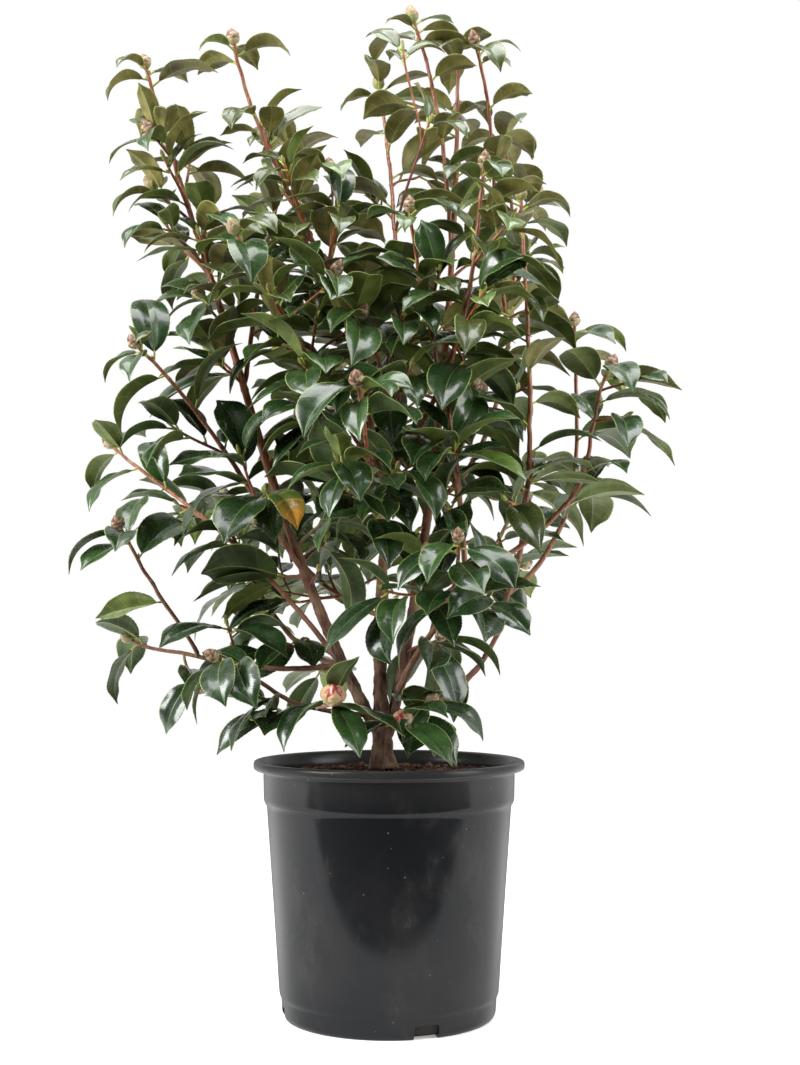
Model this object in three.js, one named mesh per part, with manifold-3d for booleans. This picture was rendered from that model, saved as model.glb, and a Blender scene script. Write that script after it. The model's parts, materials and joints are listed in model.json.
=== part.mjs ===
// A camellia shrub, a metre tall, growing in a round nursery pot.
// Millimetres, +Z up. The origin is the centre of the pot's flat underside, and -Y is the front.
// The stems fork from one foot. Each bough is a single tapering limb that ends just inside its own
// mass of foliage, and every mass is cut round the limbs and the masses that were made before it.
import * as THREE from 'three';
import { mergeVertices } from 'three/addons/utils/BufferGeometryUtils.js';
import Module from 'manifold-3d';

const wasm = await Module();
wasm.setup();

// ---- driving dimensions ----

const GAP = 0.3;                // air left between neighbouring solids
const LIMB_CLEARANCE = 0.42;    // a faceted rod grown by this keeps the gap at its flats too
const LEAF_CLEARANCE = 0.48;

const POT_HEIGHT = 245;
const POT_FOOT_RADIUS = 100;
const FOOT_RING_RADIUS = 104;
const POT_WAIST_RADIUS = 119;   // top of the tapering wall, under the band
const POT_BAND_RADIUS = 122.5;
const POT_LIP_RADIUS = 132;
const POT_WALL = 2;
const POT_FLOOR = 4;
const FOOT_RING_HEIGHT = 19;    // the plain ring at the foot, before the wall steps out
const STEP_OUT = 2;
const BAND_HEIGHT = 30;
const LIP_HEIGHT = 9;
const NOTCH_WIDTH = 24;
const NOTCH_HEIGHT = 13;
const NOTCH_DEPTH = 14;
const NOTCH_BEARINGS = [-70, 10, 110, 190];
const POT_SIDES = 28;

const COMPOST_TOP = 234;
const COMPOST_EDGE_DROP = 3;

const FOOT = new THREE.Vector3(-5, -5, COMPOST_TOP);   // where the main stem leaves the compost
const TWIG_RADIUS = 1.8;        // a limb's radius at its tip
const ROOT_FLARE = 5;           // what the main stem gains where it meets the compost
const FLARE_HEIGHT = 14;
const STEM_SIDES = 7;
const BOUGH_SIDES = 5;
const THICK = 3.5;              // a limb thicker than this radius at its foot is a stem
const LIMB_STEP = 50;           // length of one straight stretch of a limb
const SEAT = 12;                // how far a bough runs on into its own foliage
const CREST = 16;               // how far leaves stand above the end bud

const FOLIAGE_SIDES = 9;
const FOLIAGE_RINGS = 6;
const BLUNTNESS = 0.4;          // 0.5 is an ellipse, less is blunter at both ends
const UNEVENNESS = 0.2;
const OUTWARD = 0.15;           // share of its spread by which a mass leans to the light
const LEAF_OVER_POT = 4;        // foliage stays this far above the pot's lip, and outside it

// ---- the limbs ----
// on, at: the limb it forks from, and how far along. bearing, reach, height: its tip, as degrees
// anticlockwise from +X, distance from the pot's axis and height above the floor.
// leave, arrive: its slope at each end, in degrees above level. radius: at its foot.
// bare, spread: the share of its length below the leaves, and the radius of its foliage.
// ends: how far up the wood stays one solid, on a stem that still forks inside its own leaves.

const LIMBS = [
  { name: 'main_stem', bearing: 290, reach: 20, height: 530, leave: 95, arrive: 70, radius: 8 },
  { name: 'right_stem', on: 'main_stem', at: 0.04, bearing: 30, reach: 80, height: 970,
    leave: 75, arrive: 90, radius: 5.5, bare: 0.55, ends: 0.7, spread: 50 },
  { name: 'left_stem', on: 'main_stem', at: 0.1, bearing: 190, reach: 240, height: 920,
    leave: 60, arrive: 70, radius: 5.5, bare: 0.42, ends: 0.57, spread: 64 },
  { name: 'tall_left_stem', on: 'main_stem', at: 0.22, bearing: 206, reach: 160, height: 935,
    leave: 95, arrive: 55, radius: 4, bare: 0.45, spread: 62 },
  { name: 'far_right_stem', on: 'main_stem', at: 0.18, bearing: 10, reach: 120, height: 408,
    leave: -15, arrive: 90, radius: 3.8 },
  { name: 'inner_right_stem', on: 'right_stem', at: 0.08, bearing: 320, reach: 95, height: 422,
    leave: 70, arrive: 60, radius: 3.6 },
  { name: 'upright_right', on: 'far_right_stem', at: 1, bearing: 340, reach: 136, height: 790,
    leave: 15, arrive: 115, radius: 2.9, bare: 0.3, spread: 58 },
  { name: 'high_right', on: 'far_right_stem', at: 1, bearing: 20, reach: 204, height: 688,
    leave: 25, arrive: 105, radius: 2.9, bare: 0.25, spread: 54 },
  { name: 'outer_right', on: 'inner_right_stem', at: 1, bearing: 352, reach: 224, height: 625,
    leave: 20, arrive: 95, radius: 2.9, bare: 0.4, spread: 66 },
  { name: 'inner_centre', on: 'inner_right_stem', at: 1, bearing: 283, reach: 102, height: 762,
    leave: 85, arrive: 70, radius: 2.8, bare: 0.2, spread: 60 },
  { name: 'mid_left', on: 'left_stem', at: 0.1, bearing: 168, reach: 290, height: 560,
    leave: 55, arrive: 35, radius: 2.8, bare: 0.45, spread: 50 },
  { name: 'outer_left', on: 'left_stem', at: 0.25, bearing: 205, reach: 256, height: 630,
    leave: 55, arrive: 40, radius: 2.8, bare: 0.3, spread: 54 },
  { name: 'lowest_left', on: 'left_stem', at: 0.12, bearing: 173, reach: 258, height: 365,
    leave: -10, arrive: 20, radius: 2.8, bare: 0.45, ends: 0.72, spread: 46 },
  { name: 'low_left', on: 'lowest_left', at: 0.67, bearing: 193, reach: 262, height: 465,
    leave: 55, arrive: 60, radius: 2.2, bare: 0.35, spread: 52 },
  { name: 'low_front_left', on: 'left_stem', at: 0.04, bearing: 212, reach: 188, height: 340,
    leave: 5, arrive: 35, radius: 2.6, bare: 0.35, spread: 48 },
  { name: 'inner_left', on: 'left_stem', at: 0.12, bearing: 143, reach: 218, height: 510,
    leave: 0, arrive: 70, radius: 2.8, bare: 0.4, spread: 62 },
  { name: 'slant_left', on: 'main_stem', at: 0.93, bearing: 228, reach: 200, height: 730,
    leave: 35, arrive: 40, radius: 2.8, bare: 0.3, spread: 58 },
  { name: 'front_centre', on: 'main_stem', at: 1, bearing: 268, reach: 70, height: 660,
    leave: 70, arrive: 100, radius: 2.8, bare: 0.3, spread: 48 },
  { name: 'front_right', on: 'main_stem', at: 1, bearing: 302, reach: 165, height: 793,
    leave: 35, arrive: 95, radius: 2.9, bare: 0.35, spread: 52 },
  { name: 'rear_left', on: 'left_stem', at: 0.53, bearing: 139, reach: 137, height: 890,
    leave: 75, arrive: 55, radius: 2.6, bare: 0.3, spread: 50 },
  { name: 'tall_right', on: 'right_stem', at: 0.35, bearing: 42, reach: 165, height: 905,
    leave: 20, arrive: 105, radius: 3, bare: 0.4, ends: 0.57, spread: 58 },
  { name: 'top_right', on: 'tall_right', at: 0.53, bearing: 16, reach: 104, height: 975,
    leave: 50, arrive: 75, radius: 2.4, bare: 0.4, spread: 48 },
  { name: 'top_centre', on: 'right_stem', at: 0.67, bearing: 24, reach: 22, height: 984,
    leave: 95, arrive: 75, radius: 2.6, bare: 0.2, spread: 50 },
  { name: 'high_centre', on: 'front_centre', at: 0.1, bearing: 102, reach: 62, height: 935,
    leave: 115, arrive: 65, radius: 2.6, bare: 0.35, spread: 44 },
  { name: 'low_front', on: 'main_stem', at: 0.14, bearing: 300, reach: 75, height: 305,
    leave: 10, arrive: 40, radius: 2.2, bare: 0.2, spread: 42 },
  { name: 'front_low', on: 'inner_right_stem', at: 0.7, bearing: 290, reach: 175, height: 450,
    leave: 10, arrive: 60, radius: 2.4, bare: 0.25, spread: 62 },
  { name: 'front_mid', on: 'main_stem', at: 0.8, bearing: 262, reach: 200, height: 580,
    leave: 10, arrive: 70, radius: 2.6, bare: 0.25, spread: 68 },
  { name: 'rear_mid', on: 'main_stem', at: 0.7, bearing: 92, reach: 205, height: 690,
    leave: 25, arrive: 80, radius: 2.9, bare: 0.25, spread: 70 },
  { name: 'rear_low', on: 'main_stem', at: 0.5, bearing: 122, reach: 235, height: 500,
    leave: 15, arrive: 60, radius: 2.7, bare: 0.35, spread: 60 },
  { name: 'rear_low_right', on: 'right_stem', at: 0.2, bearing: 48, reach: 240, height: 535,
    leave: 20, arrive: 65, radius: 2.8, bare: 0.35, spread: 66 },
];

// ---- materials ----

function matte(color, roughness) {
  return new THREE.MeshStandardMaterial({ color, roughness, metalness: 0 });
}

const blackPlastic = matte(0x2a2b2d, 0.45);
const peat = matte(0x3b2a1d, 1);
const bark = matte(0x6e5646, 0.85);
const youngWood = matte(0x8f4f38, 0.55);
const leafGreen = matte(0x2c4727, 0.4);

// ---- solids ----

// A closed geometry as a manifold solid, with its doubled vertices joined.
function solid(geometry) {
  const bare = geometry.clone();
  bare.deleteAttribute('normal');
  bare.deleteAttribute('uv');
  const welded = mergeVertices(bare, 1e-3);
  return new wasm.Manifold(new wasm.Mesh({
    numProp: 3,
    vertProperties: Float32Array.from(welded.attributes.position.array),
    triVerts: Uint32Array.from(welded.index.array),
  }));
}

// The largest of the pieces that a cut leaves.
function largest(body) {
  return body.decompose().reduce((best, piece) => (piece.volume() > best.volume() ? piece : best));
}

function mesh(name, body, material) {
  const { vertProperties, triVerts } = body.getMesh();
  const geometry = new THREE.BufferGeometry();
  geometry.setAttribute('position', new THREE.BufferAttribute(vertProperties, 3));
  geometry.setIndex(new THREE.BufferAttribute(triVerts, 1));
  geometry.computeVertexNormals();
  const piece = new THREE.Mesh(geometry, material);
  piece.name = name;
  return piece;
}

// A solid turned from its half section: pairs of radius and height, from axis to axis.
function turned(profile, sides) {
  const points = profile.map(([radius, height]) => new THREE.Vector2(radius, height));
  return solid(new THREE.LatheGeometry(points, sides).rotateX(Math.PI / 2));
}

function polar(bearing, radius, height) {
  const angle = THREE.MathUtils.degToRad(bearing);
  return new THREE.Vector3(radius * Math.cos(angle), radius * Math.sin(angle), height);
}

// ---- the pot and its compost ----

const bandFoot = POT_HEIGHT - LIP_HEIGHT - BAND_HEIGHT;
const lipFoot = POT_HEIGHT - LIP_HEIGHT;
const wallFootRadius = FOOT_RING_RADIUS + STEP_OUT;
const wallFoot = FOOT_RING_HEIGHT + 4;
const bandFootRadius = POT_BAND_RADIUS - 0.6;

// The inner wall follows the outer one at the wall's thickness.
const innerWall = [
  [POT_FOOT_RADIUS, POT_FLOOR],
  [FOOT_RING_RADIUS - POT_WALL, FOOT_RING_HEIGHT],
  [wallFootRadius - POT_WALL, wallFoot],
  [POT_WAIST_RADIUS - POT_WALL, bandFoot - 4],
  [bandFootRadius - POT_WALL, bandFoot],
  [POT_BAND_RADIUS - POT_WALL, lipFoot],
];

function makePot() {
  const shell = turned([
    [0, 0],
    [POT_FOOT_RADIUS, 0],
    [POT_FOOT_RADIUS + 3, 4],
    [FOOT_RING_RADIUS, FOOT_RING_HEIGHT],
    [wallFootRadius, wallFoot],
    [POT_WAIST_RADIUS, bandFoot - 4],
    [bandFootRadius, bandFoot],
    [POT_BAND_RADIUS, lipFoot],
    [POT_LIP_RADIUS - 1, lipFoot],
    [POT_LIP_RADIUS, lipFoot + 2],
    [POT_LIP_RADIUS, POT_HEIGHT - 2],
    [POT_LIP_RADIUS - 2, POT_HEIGHT],
    [POT_BAND_RADIUS + 1.5, POT_HEIGHT],
    ...[...innerWall].reverse(),
    [0, POT_FLOOR],
  ], POT_SIDES);
  return NOTCH_BEARINGS.reduce((body, bearing) => body.subtract(makeNotch(bearing)), shell);
}

// One drainage notch, cut through the wall and the floor at the foot.
function makeNotch(bearing) {
  const block = new THREE.BoxGeometry(2 * NOTCH_DEPTH, NOTCH_WIDTH, 2 * NOTCH_HEIGHT);
  block.translate(FOOT_RING_RADIUS, 0, 0);
  block.rotateZ(THREE.MathUtils.degToRad(bearing));
  return solid(block);
}

function makeCompost() {
  const fill = innerWall.filter(([, height]) => height < COMPOST_TOP - COMPOST_EDGE_DROP);
  const wallHere = innerWall.at(-1)[0] - GAP;
  return turned([
    [0, POT_FLOOR + GAP],
    ...fill.map(([radius, height]) => [radius - GAP, height + GAP]),
    [wallHere - GAP, COMPOST_TOP - COMPOST_EDGE_DROP],
    [POT_BAND_RADIUS * 0.6, COMPOST_TOP],
    [0, COMPOST_TOP],
  ], POT_SIDES);
}

// ---- limbs and foliage ----

const byName = new Map(LIMBS.map((limb) => [limb.name, limb]));

// The line of a limb: a curve in one upright plane, from its fork to its tip.
function lineOf(limb) {
  if (limb.line) {
    return limb.line;
  }
  const start = limb.on ? lineOf(byName.get(limb.on)).getPoint(limb.at) : FOOT;
  const tip = polar(limb.bearing, limb.reach, limb.height);
  const chord = tip.clone().sub(start);
  const heading = Math.atan2(chord.y, chord.x);
  const along = (slope) => {
    const rise = THREE.MathUtils.degToRad(slope);
    const level = new THREE.Vector3(Math.cos(heading), Math.sin(heading), 0);
    return level.multiplyScalar(Math.cos(rise)).setZ(Math.sin(rise));
  };
  const third = chord.length() / 3;
  const afterStart = start.clone().addScaledVector(along(limb.leave), third);
  const beforeTip = tip.clone().addScaledVector(along(limb.arrive), -third);
  limb.line = new THREE.CubicBezierCurve3(start, afterStart, beforeTip, tip);
  limb.length = limb.line.getLength();
  limb.side = new THREE.Vector3(-Math.sin(heading), Math.cos(heading), 0);
  return limb.line;
}

// Bends a closed geometry that stands on +Z round a limb's line. The geometry's height of 0 to 1
// runs from one share of the line to another, and radiusAt gives the size of its rings.
function bend(geometry, limb, from, to, radiusAt) {
  const line = lineOf(limb);
  const position = geometry.attributes.position;
  for (let i = 0; i < position.count; i += 1) {
    const share = position.getZ(i);
    const t = THREE.MathUtils.lerp(from, to, share);
    const tangent = line.getTangent(THREE.MathUtils.clamp(t, 0, 1));
    const outward = new THREE.Vector3().crossVectors(limb.side, tangent);
    const angle = Math.atan2(position.getY(i), position.getX(i));
    const radius = Math.hypot(position.getX(i), position.getY(i)) * radiusAt(share, angle);
    const point = line.getPoint(t);
    point.addScaledVector(outward, radius * Math.cos(angle));
    point.addScaledVector(limb.side, radius * Math.sin(angle));
    position.setXYZ(i, point.x, point.y, point.z);
  }
  return solid(geometry);
}

function limbRadius(limb, t) {
  const taper = THREE.MathUtils.lerp(limb.radius, TWIG_RADIUS, t);
  return limb.on ? taper : taper + ROOT_FLARE * Math.exp((-t * limb.length) / FLARE_HEIGHT);
}

// A limb, from its fork to just inside its foliage. grow makes the larger copy that cuts others.
function makeLimb(limb, grow = 0) {
  lineOf(limb);
  const from = limb.on ? 0 : -SEAT / limb.length;
  const end = limb.ends ?? (limb.spread ? limb.bare + SEAT / limb.length : 1);
  const to = end + grow / limb.length;
  const steps = Math.ceil(((to - from) * limb.length) / LIMB_STEP) + 1;
  const sides = limb.radius > THICK ? STEM_SIDES : BOUGH_SIDES;
  const rod = new THREE.CylinderGeometry(1, 1, 1, sides, steps);
  rod.rotateX(Math.PI / 2).translate(0, 0, 0.5);
  const radiusAt = (share) => {
    const t = THREE.MathUtils.lerp(from, to, share);
    return limbRadius(limb, Math.max(t, 0)) + grow;
  };
  return bend(rod, limb, from, to, radiusAt);
}

// A smooth lumpiness of -1 to 1, different for each seed.
function lump(angle, share, seed) {
  const first = Math.sin(2 * angle + 5 * share + 2.1 * seed);
  const second = Math.sin(3 * angle - 7 * share + 3.7 * seed);
  const third = Math.sin(angle + 9 * share + 1.3 * seed);
  return (first + second + third) / 3;
}

// The foliage along the leafy end of a limb, fuller on the side that faces the light.
function makeFoliage(limb, seed, grow = 0) {
  const extra = grow / limb.length;
  const ball = new THREE.SphereGeometry(1, FOLIAGE_SIDES, FOLIAGE_RINGS);
  ball.rotateX(Math.PI / 2).scale(1, 1, 0.5).translate(0, 0, 0.5);
  const radiusAt = (share, angle) => {
    const blunt = Math.max(4 * share * (1 - share), 1e-6) ** (BLUNTNESS - 0.5);
    const sunny = 1 + OUTWARD * Math.cos(angle);
    const uneven = 1 + UNEVENNESS * lump(angle, share, seed);
    return limb.spread * blunt * sunny * uneven + grow;
  };
  return bend(ball, limb, limb.bare - extra, 1 + CREST / limb.length + extra, radiusAt);
}

// ---- assembly ----

const group = new THREE.Group();
group.add(mesh('pot', makePot(), blackPlastic));
group.add(mesh('compost', makeCompost(), peat));

// A disc as thick as the pot is tall, whose top is at the given height.
function disc(radius, top) {
  const slab = new THREE.CylinderGeometry(radius, radius, POT_HEIGHT, POT_SIDES);
  return solid(slab.rotateX(Math.PI / 2).translate(0, 0, top - POT_HEIGHT / 2));
}

const ground = disc(POT_BAND_RADIUS, COMPOST_TOP + GAP);
const potRoom = disc(POT_LIP_RADIUS + LEAF_OVER_POT, POT_HEIGHT + LEAF_OVER_POT);

const taken = [];               // larger copies of everything that later solids keep clear of
const clearOfTaken = (body) => taken.reduce((rest, other) => rest.subtract(other), body);

for (const limb of LIMBS) {
  const body = largest(clearOfTaken(makeLimb(limb).subtract(ground)));
  group.add(mesh(limb.name, body, limb.radius > THICK ? bark : youngWood));
  taken.push(makeLimb(limb, LIMB_CLEARANCE));
}

LIMBS.filter((limb) => limb.spread).forEach((limb, index) => {
  const body = largest(clearOfTaken(makeFoliage(limb, index).subtract(potRoom)));
  group.add(mesh(`${limb.name}_leaves`, body, leafGreen));
  taken.push(makeFoliage(limb, index, LEAF_CLEARANCE));
});

export default group;
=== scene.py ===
# %% [markdown]
# # A camellia shrub in its nursery pot
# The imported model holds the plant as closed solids: a pot, the compost in it, tapering limbs, and
# one lump for each mass of foliage. This lesson grows the real thing round them. It reads where
# every limb runs and how far every mass reaches, then makes bark, shoots, leaves and buds there.
# The shrub could be drawn leaf by leaf, but a small set of growing rules with fixed seeds gives
# the same plant on each run, and keeps every leaf on a shoot that could carry it.

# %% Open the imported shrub
import json
import math
import random

import bpy
import numpy as np
from mathutils import Matrix, Quaternion, Vector, noise
from mathutils.bvhtree import BVHTree

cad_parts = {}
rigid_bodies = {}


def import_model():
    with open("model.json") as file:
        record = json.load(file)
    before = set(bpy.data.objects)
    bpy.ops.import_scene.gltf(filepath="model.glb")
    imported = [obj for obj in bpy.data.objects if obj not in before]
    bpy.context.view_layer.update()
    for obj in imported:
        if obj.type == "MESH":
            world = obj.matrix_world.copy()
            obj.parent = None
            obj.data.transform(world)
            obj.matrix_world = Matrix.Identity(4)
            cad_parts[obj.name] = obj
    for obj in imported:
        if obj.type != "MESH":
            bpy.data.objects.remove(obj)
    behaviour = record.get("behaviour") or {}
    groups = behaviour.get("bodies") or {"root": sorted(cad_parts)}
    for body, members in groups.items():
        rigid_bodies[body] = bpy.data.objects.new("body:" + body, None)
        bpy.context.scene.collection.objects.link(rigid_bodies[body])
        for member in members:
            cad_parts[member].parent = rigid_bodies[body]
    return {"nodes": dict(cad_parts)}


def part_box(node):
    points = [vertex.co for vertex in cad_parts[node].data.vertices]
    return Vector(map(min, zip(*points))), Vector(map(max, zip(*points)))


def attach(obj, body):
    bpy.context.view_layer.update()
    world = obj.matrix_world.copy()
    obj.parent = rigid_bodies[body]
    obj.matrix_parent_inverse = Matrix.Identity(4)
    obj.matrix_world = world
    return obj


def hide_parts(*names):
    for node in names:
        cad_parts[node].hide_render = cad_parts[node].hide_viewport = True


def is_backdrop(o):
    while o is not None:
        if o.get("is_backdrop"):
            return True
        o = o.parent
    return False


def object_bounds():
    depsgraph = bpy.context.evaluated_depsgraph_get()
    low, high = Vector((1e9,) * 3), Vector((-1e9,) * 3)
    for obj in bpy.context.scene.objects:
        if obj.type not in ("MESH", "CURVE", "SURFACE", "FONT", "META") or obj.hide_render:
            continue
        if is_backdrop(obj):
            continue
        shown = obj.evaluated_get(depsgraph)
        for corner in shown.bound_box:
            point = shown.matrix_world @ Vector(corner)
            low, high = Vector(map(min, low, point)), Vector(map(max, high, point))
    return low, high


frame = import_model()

scene = bpy.context.scene
MM = 0.001
UP = Vector((0, 0, 1))
cad_low, cad_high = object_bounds()
plant_height = cad_high[2] - cad_low[2]
print(f"The packed shrub stands {plant_height * 1000:.0f} mm tall on {len(frame['nodes'])} solids.")

# %% [markdown]
# ## The studio
# A nursery shows its plants from in front, a little below the middle of the crown, on
# seamless white. The camera comes first, since every later choice is judged through it. Its lens
# is a short portrait one: a wide lens would make the pot bulge, and a long one would flatten it.

# %% Set up the camera
CAMERA_DISTANCE = 1.56
CAMERA_RISE = 0.372
CAMERA_ASIDE = 0.0106
CAMERA_TILT = math.radians(3.5)
LENS = 53.6                     # focal length in millimetres
FRAME_WIDE = 36                 # width of the sensor in millimetres

camera = bpy.data.objects.new("studio_camera", bpy.data.cameras.new("studio_camera"))
camera.data.lens = LENS
camera.data.sensor_width = FRAME_WIDE
camera.location = (CAMERA_ASIDE, -CAMERA_DISTANCE, CAMERA_RISE * plant_height)
camera.rotation_euler = (math.radians(90) + CAMERA_TILT, 0, 0)
scene.collection.objects.link(camera)
scene.camera = camera
scene.view_settings.view_transform = "Standard"
print(f"The camera stands {CAMERA_DISTANCE} m off at {camera.location.z:.3f} m above the floor.")

# %% [markdown]
# Glossy leaves and a black pot show large lamps best. Soft boxes on both sides put a pale sheen
# down each flank of the pot, and one overhead makes the leaves shine. Small bright lamps would
# put hard dots on every leaf instead.

# %% Light the studio
SOFT_BOXES = {
    "left": {"place": (-1.6, -0.95, 1.25), "wide": 0.8, "tall": 1.4, "watts": 62},
    "right": {"place": (1.7, -0.75, 1.0), "wide": 0.9, "tall": 1.8, "watts": 34},
    "above": {"place": (0, -0.3, 2.3), "wide": 2.0, "tall": 1.4, "watts": 60},
}
AIM = Vector((0, 0, 0.5))


def hang_soft_box(name, place, wide, tall, watts):
    """A rectangular soft box that faces the middle of the plant."""
    lamp = bpy.data.lights.new("soft_box_" + name, "AREA")
    lamp.shape = "RECTANGLE"
    lamp.size = wide
    lamp.size_y = tall
    lamp.energy = watts
    box = bpy.data.objects.new("soft_box_" + name, lamp)
    box.location = place
    box.rotation_euler = (AIM - box.location).to_track_quat("-Z", "Y").to_euler()
    scene.collection.objects.link(box)


for name, choice in SOFT_BOXES.items():
    hang_soft_box(name, **choice)
print(f"The studio has {len(SOFT_BOXES)} soft boxes.")

# %% [markdown]
# Whatever is glossy shows the room as well. The room behind the camera is left dim, which is what
# keeps the front of the pot black, and it grows bright towards the back. The camera itself sees
# plain white behind the plant. The world could be one even white for both, but then the pot would
# turn grey all over.

# %% Make the white room
ROOM_TURN = (-0.95, 0.1)        # from facing the front to facing the back, the room goes
ROOM_LIGHT = (0.05, 0.8)        # from the first of these strengths to the second


def add_node(tree, kind, inputs=None, **settings):
    """One shader node, with its settings and its unlinked inputs filled in."""
    node = tree.nodes.new(kind)
    for key, value in settings.items():
        setattr(node, key, value)
    for key, value in (inputs or {}).items():
        node.inputs[key].default_value = value
    return node


def white_room():
    """A world that is white behind the plant, and dim where the camera stands."""
    world = bpy.data.worlds.new("white_room")
    scene.world = world
    world.cycles.sampling_method = "NONE"       # so even a light is found well enough by chance
    world.use_nodes = True
    tree = world.node_tree
    tree.nodes.clear()
    link = tree.links.new
    direction = add_node(tree, "ShaderNodeTexCoord")
    split = add_node(tree, "ShaderNodeSeparateXYZ")
    link(direction.outputs["Generated"], split.inputs[0])
    towards_back = add_node(tree, "ShaderNodeMapRange", {
        "From Min": ROOM_TURN[0], "From Max": ROOM_TURN[1],
        "To Min": ROOM_LIGHT[0], "To Max": ROOM_LIGHT[1]})
    link(split.outputs["Y"], towards_back.inputs["Value"])
    room = add_node(tree, "ShaderNodeBackground")
    link(towards_back.outputs["Result"], room.inputs["Strength"])
    backdrop = add_node(tree, "ShaderNodeBackground", {"Strength": 1.0})
    seen = add_node(tree, "ShaderNodeLightPath")
    mix = add_node(tree, "ShaderNodeMixShader")
    link(seen.outputs["Is Camera Ray"], mix.inputs[0])
    link(room.outputs[0], mix.inputs[1])
    link(backdrop.outputs[0], mix.inputs[2])
    out = add_node(tree, "ShaderNodeOutputWorld")
    link(mix.outputs[0], out.inputs["Surface"])
    for background in (room, backdrop):
        background.inputs["Color"].default_value = (1, 1, 1, 1)


white_room()
print(f"The room's light goes from {ROOM_LIGHT[0]} in front to {ROOM_LIGHT[1]} at the back.")

# %% [markdown]
# ## Making materials
# Every finish below is a small graph of nodes on the Principled shader: a pattern that varies the
# colour, another that varies the gloss, and a fine bump. Patterns are read from the piece's own
# Object coordinates, so a pattern has one scale in metres on every piece. A class gathers these
# steps, since the same few nodes would otherwise be written out for every finish.

# %% Write the material helper


def colour(red, green, blue):
    """A colour as the shader wants it, from the 0 to 255 values that a paint chart gives."""
    channels = []
    for value in (red, green, blue):
        share = value / 255
        channels.append(share / 12.92 if share <= 0.04045 else ((share + 0.055) / 1.055) ** 2.4)
    return (*channels, 1)


def shade(tint, share):
    """A tint made darker by a share below 1, or lighter by a share above 1."""
    return tuple(min(c * share, 1) for c in tint[:3]) + (1,)


class Finish:
    """A material under construction: its Principled shader and the patterns that feed it."""

    def __init__(self, name, base, roughness, **sockets):
        self.material = bpy.data.materials.new(name)
        self.material.use_nodes = True
        self.tree = self.material.node_tree
        self.shader = self.tree.nodes["Principled BSDF"]
        self.shader.inputs["Base Color"].default_value = base
        self.shader.inputs["Roughness"].default_value = roughness
        for key, value in sockets.items():
            self.shader.inputs[key.replace("_", " ")].default_value = value
        self.bump = None
        self.place = add_node(self.tree, "ShaderNodeTexCoord").outputs["Object"]

    def link(self, output, socket):
        self.tree.links.new(output, socket)

    def stretched(self, scale):
        """The piece's coordinates, scaled along X, Y and Z."""
        mapping = add_node(self.tree, "ShaderNodeMapping", {"Scale": scale})
        self.link(self.place, mapping.inputs["Vector"])
        return mapping.outputs["Vector"]

    def noise(self, scale, detail=3, where=None, rough=0.55):
        """Cloudy noise from 0 to 1, with this many lumps to the metre."""
        made = add_node(self.tree, "ShaderNodeTexNoise",
                        {"Scale": scale, "Detail": detail, "Roughness": rough})
        self.link(where or self.place, made.inputs["Vector"])
        return made.outputs["Fac"]

    def cells(self, scale):
        """Distance to the nearest of a scatter of points."""
        made = add_node(self.tree, "ShaderNodeTexVoronoi", {"Scale": scale})
        self.link(self.place, made.inputs["Vector"])
        return made.outputs["Distance"]

    def spread(self, value, low, high, to_low=0.0, to_high=1.0):
        """The value from low to high, mapped to another range and held at its ends."""
        ranged = add_node(self.tree, "ShaderNodeMapRange", {
            "From Min": low, "From Max": high, "To Min": to_low, "To Max": to_high})
        self.link(value, ranged.inputs["Value"])
        return ranged.outputs["Result"]

    def tint(self, colour_now, other, share):
        """Blends another colour over the one so far, by a share from 0 to 1."""
        mix = add_node(self.tree, "ShaderNodeMix", data_type="RGBA")
        for side, value in (("A", colour_now), ("B", other)):
            socket = [s for s in mix.inputs if s.name == side and s.type == "RGBA"][0]
            if isinstance(value, tuple):
                socket.default_value = value
            else:
                self.link(value, socket)
        self.link(share, mix.inputs["Factor"])
        return [s for s in mix.outputs if s.type == "RGBA"][0]

    def height(self):
        """The height above the floor, in metres."""
        parts = add_node(self.tree, "ShaderNodeSeparateXYZ")
        self.link(self.place, parts.inputs["Vector"])
        return parts.outputs["Z"]

    def greater(self, one, other):
        """The greater of two values."""
        picked = add_node(self.tree, "ShaderNodeMath", operation="MAXIMUM")
        self.link(one, picked.inputs[0])
        self.link(other, picked.inputs[1])
        return picked.outputs["Value"]

    def paint(self, output):
        self.link(output, self.shader.inputs["Base Color"])

    def gloss(self, output):
        self.link(output, self.shader.inputs["Roughness"])

    def emboss(self, height, depth, strength=1.0):
        """Adds a bump of this depth in metres on top of those already there."""
        bump = add_node(self.tree, "ShaderNodeBump", {"Strength": strength, "Distance": depth})
        self.link(height, bump.inputs["Height"])
        if self.bump:
            self.link(self.bump, bump.inputs["Normal"])
        self.bump = bump.outputs["Normal"]
        self.link(self.bump, self.shader.inputs["Normal"])


print("A finish can be mixed from noise, tints, gloss and bumps.")

# %% [markdown]
# A plant is thousands of small parts. Made as an object each, they would be slow to build and
# clumsy to handle, so their points and faces are heaped up first, and each heap becomes one mesh.

# %% Write the mesh helpers


class Heap:
    """The points, faces and material slots of many small shapes, gathered for one mesh."""

    def __init__(self):
        self.points = []
        self.faces = []
        self.slots = []

    def add(self, points, faces, slots):
        """Puts one more shape on the heap. Its faces count its own points from 0."""
        first = len(self.points)
        self.points += points
        self.faces += [tuple(first + k for k in face) for face in faces]
        self.slots += slots


def join_piece(name, points, faces, materials, slots=None, smooth=True):
    """A mesh object from lists of points and faces, with a material slot number for each face."""
    mesh = bpy.data.meshes.new(name)
    mesh.from_pydata([tuple(p) for p in points], [], faces)
    for material in materials:
        mesh.materials.append(material)
    if slots is not None:
        mesh.polygons.foreach_set("material_index", slots)
    mesh.polygons.foreach_set("use_smooth", [smooth] * len(mesh.polygons))
    mesh.update()
    piece = bpy.data.objects.new(name, mesh)
    scene.collection.objects.link(piece)
    return piece


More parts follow.
